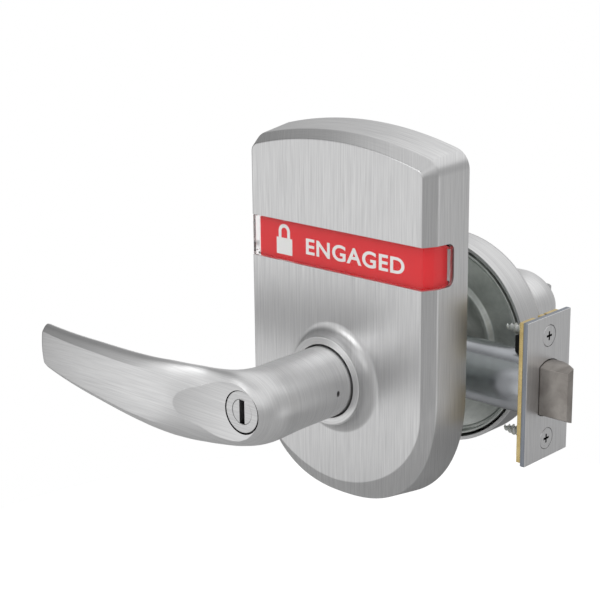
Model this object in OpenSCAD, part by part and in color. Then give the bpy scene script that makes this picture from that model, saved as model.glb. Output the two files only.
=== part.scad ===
// Privacy lever lock for a hinged door, with an indicator window in its outside cover.
// Origin: where the spindle axis (Y) crosses the latch axis (X), in the middle of the door.
// +X points to the door edge, -Y to the outside of the door, +Z up. Millimetres.

/* [Door] */
// Thickness of the door between its two faces
door_t = 44.45; // [42:0.05:48]
// Distance from the door edge to the spindle axis
backset = 69.85; // [68:0.05:73]

/* [Outside cover] */
// Width of the cover where it meets the door
cover_w = 95.25; // [93:0.25:102]
// Height of the middle of the top edge above the spindle axis
cover_top = 98.2; // [97:0.1:106]
// Depth of the bottom edge below the spindle axis
cover_bottom = 52.3; // [51:0.1:58]
// How far the cover stands off the door
cover_depth = 21.35; // [21:0.05:23]
// Wall of the cover
cover_wall = 2.0; // [1.6:0.1:2.2]
// How much the sides lean in between the door and the bevel
side_draft = 2.0; // [1:0.1:2.5]
// Width of the bevel at the sides and top, seen from the front
bevel_w = 3.1; // [2:0.1:3.6]
// Width of the bevel at the bottom, seen from the front
bevel_bottom_w = 7.4; // [4:0.1:9]
// Depth of the bevel
bevel_depth = 5.8; // [4:0.1:6.4]
// Radius of the arched top edge
top_arc_r = 160; // [130:1:220]
// Radius of the two top corners
top_corner_r = 8; // [5:0.5:10]
// Height above the axis at which the rounded bottom begins
bottom_start = 0.6; // [-2:0.1:4]
// Fullness of the rounded bottom, where 2 is an ellipse
bottom_power = 2.4; // [2:0.05:2.6]

/* [Indicator] */
// Height of the middle of the window above the spindle axis
window_z = 50.6; // [49:0.1:53]
// Height of the window
window_h = 16.3; // [14:0.1:16.6]
// Radius of the window's end corners
window_r = 3.0; // [2:0.1:4]
// Distance from the door to the ends of the window
window_end = 7.3; // [6.5:0.1:9]
// Thickness of the lens flange behind the cover wall
lens_flange_t = 0.6; // [0.4:0.05:0.8]
// Thickness of the flag carrier
flag_t = 1.0; // [0.8:0.1:1.4]
// Thickness of the engaged label on the flag
label_t = 0.35; // [0.2:0.05:0.45]
// Overlap of each flag band behind the window's edges
flag_lap = 0.7; // [0.5:0.1:1.2]
// Teeth on the pinion that drives the flag
pinion_teeth = 24; // [22:2:26]
// Turn of the privacy bar between engaged and free, in degrees
privacy_turn = 90; // [80:1:100]

/* [Levers] */
// Length of a lever from the spindle axis to its tip
lever_len = 119; // [105:1:130]
// Diameter of the lever's neck
neck_d = 28; // [27:0.1:29]
// Height of the lever's arm where it leaves the hub
arm_h = 29.4; // [28.5:0.1:31]
// Height of the lever's arm at its tip
arm_tip_h = 19; // [14:0.5:24]
// Radius of the arm's bow, seen from above
arm_bow_r = 265; // [220:5:400]
// Thickness of the arm where it leaves the hub
arm_t = 12; // [11:0.1:13]
// Thickness of the arm at its tip
arm_tip_t = 8; // [6:0.1:10]
// Distance from the door face to the middle of the arm
arm_reach = 77.3; // [75:0.1:82]
// Distance from the door face to the button face on a lever
button_reach = 73.3; // [71.5:0.1:74.5]
// Radius of the dished scoop round the button
scoop_r = 42; // [36:0.5:60]
// Diameter of the ring round the button
ring_d = 17.4; // [16:0.1:18]
// Diameter of the slotted turn disc
disc_d = 10.3; // [9.5:0.1:10.6]
// Width of the slot in the turn disc
slot_w = 2.6; // [1.6:0.1:3]
// Length of the slot in the turn disc
slot_len = 9.0; // [7:0.1:9.2]
// Turn of a lever from rest to its stop, in degrees
lever_turn = 50; // [40:1:55]

/* [Collars and inside rose] */
// Outer diameter of the ring round each lever's neck
collar_d = 35.2; // [34:0.1:38]
// Distance from the door face to the face of that ring
collar_reach = 27.5; // [26.6:0.1:28.5]
// Gap between a lever's neck and its collar ring
neck_gap = 0.6; // [0.4:0.1:0.9]
// Diameter at the foot of the raised boss on the cover
boss_d = 45; // [42:0.5:48]
// How far the inside rose reaches past the middles of the through bolts
rose_margin = 9.1; // [8:0.1:12]
// Depth of the rose's straight rim
rose_rim = 13.8; // [12:0.1:15]
// Wall of the rose
rose_wall = 1.6; // [1.2:0.1:1.8]

/* [Spindles and chassis] */
// Outer diameter of the spindle tubes
spindle_d = 16; // [15.6:0.1:16.4]
// Wall of the spindle tubes
spindle_wall = 2.4; // [2:0.1:2.6]
// Diameter of the chassis housing in the door's cross bore
chassis_d = 50.8; // [50:0.1:53]
// Wall of the chassis housing
chassis_wall = 1.4; // [1.2:0.1:1.6]
// Diameter of the bar that carries the privacy turn through the lock
bar_d = 5; // [4:0.1:5.4]
// Distance between the two through bolts
bolt_spacing = 69.85; // [68.5:0.05:72]
// Diameter of the through bolts
bolt_d = 4.8; // [4:0.1:5]

/* [Latch] */
// Outer diameter of the latch tube
tube_d = 24.4; // [24:0.1:25.2]
// Wall of the latch tube
tube_wall = 0.9; // [0.8:0.05:1]
// Height of the faceplate
face_h = 57.15; // [56:0.05:60]
// Width of the faceplate
face_w = 28.575; // [26:0.05:32]
// Thickness of the faceplate
face_t = 2.2; // [1.6:0.1:2.6]
// Thickness of the backing plate
backing_t = 1.8; // [1.2:0.1:2.2]
// Distance between the two faceplate screws
screw_spacing = 41.3; // [41:0.05:44]
// Length of the faceplate screws
screw_len = 22; // [18:0.5:25]
// Throw of the latch bolt
throw = 12.7; // [11:0.1:12.7]
// Width of the latch bolt across its flats
bolt_w = 11.6; // [10.5:0.1:12.4]
// Width of the flat end of the latch bolt
bolt_nose_w = 2.6; // [1.5:0.1:4]

/* [Clearances] */
// Running clearance of a shaft in its bearing
run_gap = 0.06; // [0.03:0.01:0.09]
// Sliding clearance between pieces that move past each other
slide_gap = 0.3; // [0.25:0.05:0.35]
// Gap between pieces that are fixed beside each other
fit_gap = 0.1; // [0.05:0.05:0.2]

/* [Hidden] */

// Where things lie, measured outwards from the middle of the door
door_y = door_t / 2;
cover_y = door_y + cover_depth;
bevel_y = cover_y - bevel_depth;
collar_y = door_y + collar_reach;
button_y = door_y + button_reach;
arm_y = door_y + arm_reach;
neck_r = neck_d / 2;
collar_r = collar_d / 2;
collar_bore_r = neck_r + neck_gap;
spindle_r = spindle_d / 2;
sleeve_bore_r = spindle_r + run_gap;
sleeve_wall = 3.4;
sleeve_r = sleeve_bore_r + sleeve_wall;
lever_bore_r = spindle_r + fit_gap / 2;
bar_r = bar_d / 2;
ring_r = ring_d / 2;
disc_r = disc_d / 2;
ring_t = 3.5;
ring_seat_y = button_y - ring_t;
spindle_tip_y = ring_seat_y - 2;

// Mounting plates, cages and what stands in the outside cover's depth
plate_t = 2.5;
plate_y = door_y + plate_t;
cage_r = 21;
cage_wall = 1.5;
cage_len = 6.4;
driver_t = 1.8;
in_floor_y = door_y + 6;
in_face_y = door_y + 2.2;
in_sheet = 1.8;
function driver_at(seat_y) = seat_y + cage_len + slide_gap + 1;
driver_y = driver_at(plate_y);
pinion_y = driver_y + driver_t + slide_gap;
pinion_t = 3.5;
flag_gap = 0.3;
lens_recess = 0.2;
label_inset = cover_wall + lens_flange_t + flag_gap + 0.1;
carrier_inset = label_inset + label_t + fit_gap;
carrier_back_inset = carrier_inset + flag_t;

// Flag bands and travel
flag_travel = window_h + flag_lap;
pitch_r = flag_travel * 180 / (PI * privacy_turn);
gear_module = 2 * pitch_r / pinion_teeth;
gear_pitch = PI * gear_module;
gear_backlash = 0.12;
window_low = window_z - window_h / 2;
window_high = window_z + window_h / 2;
flag_split = window_low - flag_lap / 2;
flag_top = window_high + flag_lap;
flag_low = flag_split - flag_travel - flag_lap / 2;

// Retractor and its cam finger
finger_orbit_r = throw / (2 * sin(lever_turn / 2));
finger_r = 2;
retractor_half_y = 5;
chassis_r = chassis_d / 2;
chassis_half_len = door_y - 4;
chassis_end_t = 2.5;
flange_r = spindle_r + 2;
flange_t = 2.2;
flange_y = retractor_half_y + 1.5;
sleeve_start_y = flange_y + flange_t + slide_gap;

// Latch
tube_r = tube_d / 2;
tube_bore_r = tube_r - tube_wall;
latch_r = tube_bore_r - slide_gap;
face_back_x = backset - face_t;
backing_back_x = face_back_x - backing_t;
tube_end_x = chassis_r - 0.4;
cap_t = 3.5;
tail_half_z = 4;
tail_half_y = 1.2;
hook_half_z = 7;
hook_x = throw + bar_r + 2.3;
hook_t = 2;

// Puts a flat drawing, drawn in X and Z, outwards from distance y, so it fills y to y + t
module outward(y, t) { translate([0, -y, 0]) rotate([90, 0, 0]) linear_extrude(t) children(); }
// A round shape whose profile is drawn as [radius, distance from the middle of the door]
module turned() { rotate([90, 0, 0]) rotate_extrude($fn = 96) children(); }
// A cylinder on the spindle axis from distance y0 to y1
module axis_rod(r, y0, y1) {
  translate([0, -y0, 0]) rotate([90, 0, 0]) cylinder(h = y1 - y0, r = r, $fn = 64);
}
// A cylinder along X
module x_rod(r, x0, x1) { translate([x0, 0, 0]) rotate([0, 90, 0]) cylinder(h = x1 - x0, r = r, $fn = 64); }
// A box from its low corner to its high corner
module block(low, high) { translate(low) cube(high - low); }

function arc_points(cx, cy, r, a0, a1, n) = [for (i = [0 : n]) let (a = a0 + (a1 - a0) * i / n)
  [cx + r * cos(a), cy + r * sin(a)]];

// A closed tube swept along rings of centre points, used for the springs
module swept_wire(points, wire_r, sides) {
  n = len(points);
  rings = [for (i = [0 : n - 1])
    let (a = points[max(i - 1, 0)], b = points[min(i + 1, n - 1)], d = (b - a) / norm(b - a),
         s0 = cross(d, [0.13, 0.21, 1]), s = s0 / norm(s0), t = cross(s, d))
    for (k = [0 : sides - 1])
      points[i] + wire_r * (cos(360 * k / sides) * s + sin(360 * k / sides) * t)];
  skin = [for (i = [0 : n - 2], k = [0 : sides - 1])
    let (p = i * sides, q = (k + 1) % sides)
    each [[p + k, p + q, p + sides + q], [p + k, p + sides + q, p + sides + k]]];
  last = (n - 1) * sides;
  ends = concat([for (k = [1 : sides - 2]) [0, k + 1, k]],
                [for (k = [1 : sides - 2]) [last, last + k, last + k + 1]]);
  polyhedron(rings, concat(skin, ends));
}

// The cover's outline: arched top, rounded top corners, straight sides, rounded bottom
function cover_outline(half_w, top, bottom, start, power, corner, arc_r) =
  let (arc_z = top - arc_r,
       corner_x = half_w - corner,
       corner_z = arc_z + sqrt(pow(arc_r - corner, 2) - pow(corner_x, 2)),
       join = atan2(corner_z - arc_z, corner_x),
       right = arc_points(corner_x, corner_z, corner, 0, join, 5),
       step = (180 - 2 * join) / 12,
       crown = arc_points(0, arc_z, arc_r, join + step, 180 - join - step, 10),
       left = arc_points(-corner_x, corner_z, corner, 180 - join, 180, 5),
       foot = [for (i = [0 : 28]) let (a = 180 - 180 * i / 28, side = pow(abs(cos(a)), 2 / power))
         [half_w * sign(cos(a)) * side, start - (start + bottom) * pow(sin(a), 2 / power)]])
  concat(right, crown, left, foot);

// The cover's outline where it meets the door, drawn in by inset
module base_outline(inset) {
  polygon(cover_outline(cover_w / 2 - inset, cover_top - inset, cover_bottom - inset,
                        bottom_start, bottom_power, top_corner_r, top_arc_r));
}
// The outline at the outer edge of the bevel
module bevel_outline(inset) {
  polygon(cover_outline(cover_w / 2 - side_draft - inset, cover_top - side_draft - inset,
                        cover_bottom - side_draft - inset, bottom_start, bottom_power,
                        top_corner_r - side_draft / 2, top_arc_r));
}
// The outline of the flat front
module front_outline(inset) {
  lean = side_draft + bevel_w + inset;
  polygon(cover_outline(cover_w / 2 - lean, cover_top - lean,
                        cover_bottom - side_draft - bevel_bottom_w - inset,
                        bottom_start - bevel_bottom_w - 1, bottom_power * 0.8,
                        max(1, top_corner_r - bevel_w - inset / 2 - 1.4), top_arc_r * 0.9));
}
// The cover's solid form, drawn in by inset on every side but the door's
module cover_form(inset, back_y) {
  slice = 0.01;
  hull() {
    outward(back_y, slice) base_outline(inset);
    outward(bevel_y - inset / 4, slice) bevel_outline(inset);
    outward(cover_y - inset - slice, slice) front_outline(inset * 0.6);
  }
}
// A shell that follows the cover between two insets
module cover_shell(outer, inner) {
  difference() {
    cover_form(outer, door_y);
    cover_form(inner, door_y - 1);
  }
}
// The window's slot across the front and both sides, grown by grow
module window_slot(grow) {
  half_x = cover_w / 2 + 5;
  low = window_low - grow;
  high = window_high + grow;
  end_y = door_y + window_end - grow;
  block([-half_x, -cover_y - 5, low], [half_x, -end_y - window_r, high]);
  block([-half_x, -end_y - window_r - 0.1, low + window_r], [half_x, -end_y, high - window_r]);
  for (z = [low + window_r, high - window_r])
    translate([0, -end_y - window_r, z]) x_rod(window_r, -half_x, half_x);
}

// Places of the screws that hold the cover to its mounting plate
post_edge = 17.6;
post_x = cover_w / 2 - post_edge;
post_top_z = flag_top + flag_travel + 6;
post_low_z = -24;
post_places = [[-post_x, post_top_z], [post_x, post_top_z], [-post_x, post_low_z], [post_x, post_low_z]];
post_r = 3.2;
post_bore_r = 1.6;
cover_screw_r = 1.5;
cover_screw_head_r = 2.9;
boss_r = boss_d / 2;
boss_lip = 0.8;
boss_lip_y = collar_y - 0.6;

// Boss that rises from the cover to the collar in a hollow curve, drawn as [radius, y]
function boss_curve(top_r, foot_r, foot_y, top_y) =
  [for (i = [1 : 8]) let (a = 90 * i / 8)
    [foot_r - (foot_r - top_r) * sin(a), top_y - (top_y - foot_y) * cos(a)]];

module cover() {
  under_y = cover_y - cover_wall;
  color("silver") difference() {
    union() {
      cover_shell(0, cover_wall);
      turned() polygon(concat(
        [[collar_r - 1, under_y], [boss_r, under_y], [boss_r, cover_y]],
        boss_curve(collar_r + boss_lip, boss_r, cover_y, boss_lip_y), [[collar_r - 1, boss_lip_y]]));
      for (p = post_places) translate([p[0], 0, p[1]]) axis_rod(post_r, plate_y, cover_y - cover_wall / 2);
    }
    axis_rod(collar_r + fit_gap / 2, under_y - 5, collar_y + 1);
    window_slot(0);
    for (p = post_places) translate([p[0], 0, p[1]]) axis_rod(post_bore_r, plate_y - 1, under_y - cover_wall);
  }
}

module lens() {
  lens_back = cover_wall + lens_flange_t;
  color([0.9, 0.95, 0.97, 0.35]) union() {
    intersection() {
      window_slot(-fit_gap);
      cover_shell(lens_recess, lens_back);
    }
    intersection() {
      window_slot(1.8);
      cover_shell(cover_wall + fit_gap / 2, lens_back);
    }
  }
}

// Ring round a lever's neck, pressed into the cover or the rose
module collar_ring() {
  seat_y = cover_y - cover_wall - 0.6;
  lip = 0.4;
  turned() polygon([[collar_bore_r, seat_y], [collar_r, seat_y], [collar_r, collar_y - lip],
                    [collar_r - lip, collar_y], [collar_bore_r + lip / 2, collar_y],
                    [collar_bore_r, collar_y - lip / 2]]);
}
module collar_out() { color("lightgray") collar_ring(); }
module collar_in() { color("lightgray") mirror([0, 1, 0]) collar_ring(); }

// Holes of the through bolts in a mounting plate
module bolt_places() { for (side = [1, -1]) translate([0, 0, side * bolt_spacing / 2]) children(); }

bolt_r = bolt_d / 2;
bolt_post_r = bolt_r + 1.6;
bolt_head_r = bolt_r + 2;
bolt_head_t = 2.6;
post_end_y = 0;
bolt_end_y = 12;
rivet_t = 1.5;
plate_inset = cover_wall + 0.6;

module mount_plate_out() {
  color("lightsteelblue") difference() {
    outward(door_y, plate_t) base_outline(plate_inset);
    axis_rod(sleeve_r + fit_gap / 2, door_y - 1, plate_y + 1);
    bolt_places() axis_rod(bolt_post_r + fit_gap / 2, door_y - 1, plate_y + 1);
    for (p = post_places) translate([p[0], 0, p[1]]) {
      axis_rod(cover_screw_r + fit_gap, door_y - 1, plate_y + 1);
      turned() polygon([[0, door_y - 0.1], [cover_screw_head_r + fit_gap, door_y - 0.1],
                        [cover_screw_head_r + fit_gap, door_y], [0, door_y + cover_screw_head_r + fit_gap]]);
    }
  }
}

// Cross recess of a screw head, between two places along Y
module cross_in_head(half_len, half_w, y0, y1) {
  for (a = [0, 90]) rotate([0, a, 0]) block([-half_len, y0, -half_w], [half_len, y1, half_w]);
}

// Four flat-headed screws that come from the door side of the plate
module cover_screws() {
  screw_end_y = cover_y - cover_wall * 2 - 1.5;
  color("gray") for (p = post_places) translate([p[0], 0, p[1]]) {
    difference() {
      turned() polygon([[0, door_y], [cover_screw_head_r, door_y],
                        [cover_screw_r, door_y + cover_screw_head_r - cover_screw_r],
                        [cover_screw_r, screw_end_y - 1], [cover_screw_r - 1, screw_end_y], [0, screw_end_y]]);
      cross_in_head(1.6, 0.35, -door_y - 1.1, -door_y + 1);
    }
  }
}

// Rail that the flag's edge slides along, beside its inner face
rail_half_z = 0.5 * (flag_top - flag_low + flag_travel) + 1.5;
rail_mid_z = 0.5 * (flag_top + flag_low + flag_travel);
rail_face_x = cover_w / 2 - side_draft - carrier_back_inset - slide_gap;
rail_t = 1.4;
rail_foot_w = 5;
module flag_rail() {
  low_z = rail_mid_z - rail_half_z;
  high_z = rail_mid_z + rail_half_z;
  block([rail_face_x - rail_t, -plate_y - 9, low_z], [rail_face_x, -plate_y, high_z]);
  block([rail_face_x - rail_foot_w, -plate_y - rail_t, low_z], [rail_face_x, -plate_y, high_z]);
}
module flag_guide_right() { color("dimgray") flag_rail(); }
module flag_guide_left() { color("dimgray") mirror([1, 0, 0]) flag_rail(); }

// Cup that holds a lever's return spring, fixed to the mounting plate
module spring_cage(seat_y) {
  end_y = seat_y + cage_len;
  difference() {
    axis_rod(cage_r, seat_y, end_y);
    axis_rod(cage_r - cage_wall, seat_y + cage_wall, end_y + 1);
    axis_rod(sleeve_r + fit_gap / 2, seat_y - 1, end_y + 1);
  }
}
module spring_cage_out() { color("lightsteelblue") spring_cage(plate_y); }
module spring_cage_in() { color("lightsteelblue") mirror([0, 1, 0]) spring_cage(in_floor_y); }

// Torsion spring of a lever: one unbroken coil between the hub sleeve and the cage
spring_wire_r = 0.7;
spring_turns = 2;
spring_steps = 14;
spring_coil_r = cage_r - cage_wall - spring_wire_r - 0.6;
module return_spring(seat_y) {
  start_y = seat_y + cage_wall + spring_wire_r + 0.1;
  end_y = driver_at(seat_y) - spring_wire_r - 0.1;
  swept_wire([for (i = [0 : spring_turns * spring_steps])
    let (a = 360 * i / spring_steps, d = start_y + (end_y - start_y) * i / (spring_turns * spring_steps))
      [spring_coil_r * cos(a), -d, spring_coil_r * sin(a)]], spring_wire_r, 6);
}
module return_spring_out() { color("dimgray") return_spring(plate_y); }
module return_spring_in() { color("dimgray") mirror([0, 1, 0]) return_spring(in_floor_y); }

// Disc on a spindle that winds the return spring
driver_r = cage_r - 1;
module spring_driver(seat_y) {
  lug_t = 2.6;
  lug_y = seat_y + cage_wall + 2.2;
  lug_end_x = spring_coil_r - spring_wire_r - 0.5;
  start_y = driver_at(seat_y);
  difference() {
    union() {
      axis_rod(driver_r, start_y, start_y + driver_t);
      block([sleeve_r + 1, -start_y - 0.5, -lug_t / 2], [lug_end_x, -lug_y, lug_t / 2]);
    }
    axis_rod(spindle_r + fit_gap / 2, start_y - 1, start_y + driver_t + 1);
  }
}
module spring_driver_out() { color("slategray") spring_driver(plate_y); }
module spring_driver_in() { color("slategray") mirror([0, 1, 0]) spring_driver(in_floor_y); }

// Parts of the lever's arm at distance x from the spindle axis, towards its tip
arm_front = arm_t * 0.52;
arm_back = arm_t - arm_front;
arm_tip_r = 3.2;
arm_straight = 34;
function mix(a, b, u) = a + (b - a) * max(0, min(1, u));
function arm_mid_y(x) = arm_y - pow(x - 45, 2) / (2 * arm_bow_r);
function arm_along(x) = (x - arm_straight) / (lever_len - arm_straight);
function arm_root_fade(x) = x < 12 ? sqrt(1 - pow((12 - x) / 26, 2)) : 1;
function arm_tip_cut(x) = x > lever_len - arm_tip_r ?
  arm_tip_r - sqrt(max(0, pow(arm_tip_r, 2) - pow(x - lever_len + arm_tip_r, 2))) : 0;
function arm_half_h(x) = mix(arm_h / 2, arm_tip_h / 2, arm_along(x)) * arm_root_fade(x) - arm_tip_cut(x);
function arm_scale(x) = mix(1, arm_tip_t / arm_t, arm_along(x)) * arm_root_fade(x);
function arm_flare(x) = 8 * pow(max(0, min(1, (36 - x) / 22)), 2);
arm_crease = 0.72;
arm_crown = 2.4;
// One ring of the arm: flat-crowned front, bevels above and below, rounded back
function arm_ring(x) =
  let (h = arm_half_h(x), k = arm_scale(x), mid = arm_mid_y(x), cut = arm_tip_cut(x) * 0.5,
       front = arm_front * k - cut, back = arm_back * k + arm_flare(x) * arm_root_fade(x) - cut,
       face = [for (i = [-4 : 4]) let (u = i / 4) [arm_crease * h * u, front - arm_crown * k * u * u]],
       edge = [[0.9 * h, 0.42 * front], [h, 0.1 * front]],
       tail = [for (i = [1 : 7]) let (a = 180 * i / 8) [h * cos(a), -back * sin(a)]])
  concat([for (p = face) p], edge, tail, [[-h, 0.1 * front], [-0.9 * h, 0.42 * front]]);
// Places of those rings: close together in the hub and at the rounded tip
arm_root_x = 18;
arm_end_x = lever_len - arm_tip_r;
function arm_stations() = concat(
  [-10, -6, 0, 6, 12, arm_root_x], [for (i = [1 : 9]) arm_root_x + (arm_end_x - arm_root_x) * i / 9],
  [for (a = [30, 60, 82]) arm_end_x + arm_tip_r * sin(a)]);

module arm() {
  xs = arm_stations();
  rings = [for (x = xs) [for (p = arm_ring(x)) [-x, -arm_mid_y(x) - p[1], p[0]]]];
  n = len(rings[0]);
  count = len(xs);
  skin = [for (i = [0 : count - 2], k = [0 : n - 1])
    let (a = i * n + k, b = i * n + (k + 1) % n) each [[a, a + n, b + n], [a, b + n, b]]];
  last = (count - 1) * n;
  caps = concat([for (k = [1 : n - 2]) [0, k, k + 1]], [for (k = [1 : n - 2]) [last, last + k + 1, last + k]]);
  polyhedron([for (ring = rings) each ring], concat(skin, caps));
}

// Hub of a lever: the neck and its domed end, turned about the spindle axis
hub_y = button_y - 7.5;
dome_y = arm_y + 4.4;
neck_start_y = collar_y - 3;
catch_y = collar_y + 7.7;
module lever_body() {
  scoop_y = button_y - 0.3 + scoop_r;
  difference() {
    union() {
      arm();
      turned() polygon(concat(
        [[0, neck_start_y], [neck_r - 0.4, neck_start_y], [neck_r, neck_start_y + 0.4]],
        [for (a = [0 : 10 : 90]) [neck_r * cos(a), hub_y + (dome_y - hub_y) * sin(a)]]));
    }
    translate([0.6, -scoop_y, 0]) sphere(r = scoop_r, $fn = 96);
    axis_rod(ring_r + fit_gap / 2, ring_seat_y, dome_y + 1);
    axis_rod(disc_r + slide_gap, spindle_tip_y - 1, ring_seat_y + 1);
    axis_rod(lever_bore_r, neck_start_y - 1, spindle_tip_y + fit_gap);
    translate([0, -catch_y, 0]) {
      for (z = [-0.4, 0.4]) translate([0, 0, z]) x_rod(0.75, spindle_r - 1, neck_r + 1);
      block([spindle_r - 1, -0.75, -0.4], [neck_r + 1, 0.75, 0.4]);
    }
  }
}
module lever_out() { color("silver") lever_body(); }
module lever_in() { color("silver") mirror([0, 1, 0]) lever_body(); }

// Flat ring round the button, fixed in the lever
module face_ring() {
  difference() {
    axis_rod(ring_r, ring_seat_y, button_y);
    axis_rod(disc_r + run_gap, ring_seat_y - 1, button_y + 1);
  }
}
module face_ring_out() { color("gainsboro") face_ring(); }
module face_ring_in() { color("gainsboro") mirror([0, 1, 0]) face_ring(); }

// Spindle tube that carries a lever and turns in the hub sleeve
module spindle_tube() {
  axis_rod(spindle_r, flange_y, spindle_tip_y);
  axis_rod(flange_r, flange_y, flange_y + flange_t);
}
// Hollow of a spindle tube and the hole of its catch
module spindle_hollow() {
  axis_rod(spindle_r - spindle_wall, flange_y - 1, spindle_tip_y + 1);
  translate([0, -catch_y, 0]) x_rod(0.8, 0, spindle_r + 1);
}

dog_y = pinion_y + pinion_t / 2;
dog_r = 1.2;
dog_angle = 180;
module spindle_out() {
  slot_pad = asin((dog_r + slide_gap) / (spindle_r - spindle_wall)) + 3;
  slot_start = dog_angle - lever_turn - slot_pad;
  slot_sweep = lever_turn + privacy_turn + 2 * slot_pad;
  slot_half = dog_r + slide_gap;
  color("slategray") difference() {
    spindle_tube();
    spindle_hollow();
    translate([0, -dog_y + slot_half, 0]) rotate([90, 0, 0]) rotate([0, 0, slot_start])
      rotate_extrude(angle = slot_sweep, $fn = 96) translate([spindle_r - spindle_wall - 0.5, 0])
        square([spindle_wall + 1, 2 * slot_half]);
  }
}

// Arm and finger on the inside spindle that draw the retractor back
finger_tilt = lever_turn / 2;
cam_arm_r = 3.6;
module spindle_in() {
  color("slategray") mirror([0, 1, 0]) difference() {
    union() {
      spindle_tube();
      rotate([0, finger_tilt, 0]) {
        block([-cam_arm_r, -flange_y - flange_t, spindle_r - 2], [cam_arm_r, -flange_y, finger_orbit_r]);
        translate([0, 0, finger_orbit_r]) axis_rod(cam_arm_r, flange_y, flange_y + flange_t);
        translate([0, 0, finger_orbit_r]) axis_rod(finger_r, 1 - retractor_half_y, flange_y + 1);
      }
    }
    spindle_hollow();
  }
}

// Spring-loaded catch that holds a lever on its spindle
module catch_pin() {
  translate([0, -catch_y, 0]) x_rod(0.65, spindle_r - spindle_wall - 1, neck_r - 1.6);
  translate([0, -catch_y, 0]) block([bar_r + 0.8, -3, -1.6], [spindle_r - spindle_wall - 0.4, 3, 1.6]);
}
module catch_out() { color("peru") catch_pin(); }
module catch_in() { color("peru") mirror([0, 1, 0]) catch_pin(); }

// Slotted disc in the outside lever, turned with a coin in an emergency
disc_back_y = ring_seat_y - 1;
slot_depth = 2.2;
module turn_disc() {
  color("gainsboro") difference() {
    axis_rod(disc_r, disc_back_y, button_y - 0.15);
    block([-slot_w / 2, -button_y - 1, -slot_len / 2], [slot_w / 2, -button_y + slot_depth, slot_len / 2]);
  }
}
module privacy_bar() {
  color("slategray") difference() {
    axis_rod(bar_r, -disc_back_y, disc_back_y);
    translate([0, -dog_y, 0]) x_rod(dog_r + fit_gap / 2, -bar_r - 1, bar_r + 1);
  }
}
module drive_dog() {
  color("gray") translate([0, -dog_y, 0]) x_rod(dog_r, -pitch_r + gear_module * 1.3, 1.5);
}

// Thumb turn in the inside lever: a short stem with a rounded wing
wing_half_t = 1.9;
wing_r = 9.2;
wing_len = 11;
module thumb_turn() {
  color("gainsboro") mirror([0, 1, 0]) {
    axis_rod(disc_r, disc_back_y, button_y + 1.6);
    intersection() {
      block([-wing_half_t, -button_y - wing_len, -wing_r], [wing_half_t, -button_y - 1.2, wing_r]);
      translate([0, -button_y - 3, 0]) x_rod(wing_r, -wing_half_t - 1, wing_half_t + 1);
    }
  }
}

// Involute pinion that lifts the flag; its teeth roll on a straight rack
pressure = 20;
base_r = pitch_r * cos(pressure);
pinion_tip_r = pitch_r + gear_module;
pinion_root_r = pitch_r - 1.25 * gear_module;
function involute(a) = tan(a) * 180 / PI - a;
function tooth_half_angle(r) = 90 / pinion_teeth - gear_backlash * 90 / (PI * pitch_r)
  + involute(pressure) - involute(acos(min(1, base_r / r)));
function tooth_points(mid) =
  let (rise = concat([pinion_root_r], [for (i = [0 : 4]) base_r + (pinion_tip_r - base_r) * i / 4]))
  concat([for (r = rise) let (a = mid - tooth_half_angle(r)) [r * cos(a), r * sin(a)]],
         [for (i = [5 : -1 : 0]) let (r = rise[i], a = mid + tooth_half_angle(r)) [r * cos(a), r * sin(a)]]);
module pinion() {
  color("khaki") difference() {
    outward(pinion_y, pinion_t)
      polygon([for (k = [0 : pinion_teeth - 1]) each tooth_points(360 * k / pinion_teeth)]);
    axis_rod(spindle_r + slide_gap, pinion_y - 1, pinion_y + pinion_t + 1);
    translate([0, -dog_y, 0]) x_rod(dog_r + fit_gap / 2, -pinion_tip_r - 1, 0);
  }
}

// Flag: a U-shaped carrier with a wrapped label over its upper band
module flag_band(low, high) {
  end_y = door_y + window_end + 0.6;
  block([-cover_w, -cover_y - 1, low], [cover_w, -end_y, high]);
}
module flag_carrier() {
  color("whitesmoke") intersection() {
    flag_band(flag_low, flag_top);
    cover_shell(carrier_inset, carrier_back_inset);
  }
}
module engaged_label() {
  color("crimson") intersection() {
    flag_band(flag_split, flag_top);
    cover_shell(label_inset, label_inset + label_t);
  }
}

rack_teeth_up = 2;
rack_teeth_down = ceil((flag_travel + 4) / gear_pitch);
rack_back_x = pitch_r + 1.25 * gear_module + 3.4;
rack_low_z = -(rack_teeth_down + 0.3) * gear_pitch;
rack_foot_low = flag_low + 1;
rack_foot_high = flag_low + 9;
module flag_rack() {
  tip_x = pitch_r - gear_module;
  root_x = pitch_r + 1.25 * gear_module;
  mid_half = gear_pitch / 4 - gear_backlash / 2;
  tip_half = mid_half - gear_module * tan(pressure);
  root_half = mid_half + 1.25 * gear_module * tan(pressure);
  teeth = [for (k = [rack_teeth_up - 1 : -1 : -rack_teeth_down]) let (z = (k + 0.5) * gear_pitch)
    each [[root_x, z + root_half], [tip_x, z + tip_half], [tip_x, z - tip_half], [root_x, z - root_half]]];
  carrier_back_y = cover_y - carrier_back_inset;
  color("whitesmoke") union() {
    outward(pinion_y, pinion_t) polygon(concat(
      [[rack_back_x, rack_low_z], [rack_back_x, rack_foot_high], [root_x, rack_foot_high]],
      teeth, [[root_x, rack_low_z]]));
    block([root_x, -carrier_back_y, rack_foot_low], [rack_back_x + 10, -pinion_y - 1, rack_foot_high]);
  }
}

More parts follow.
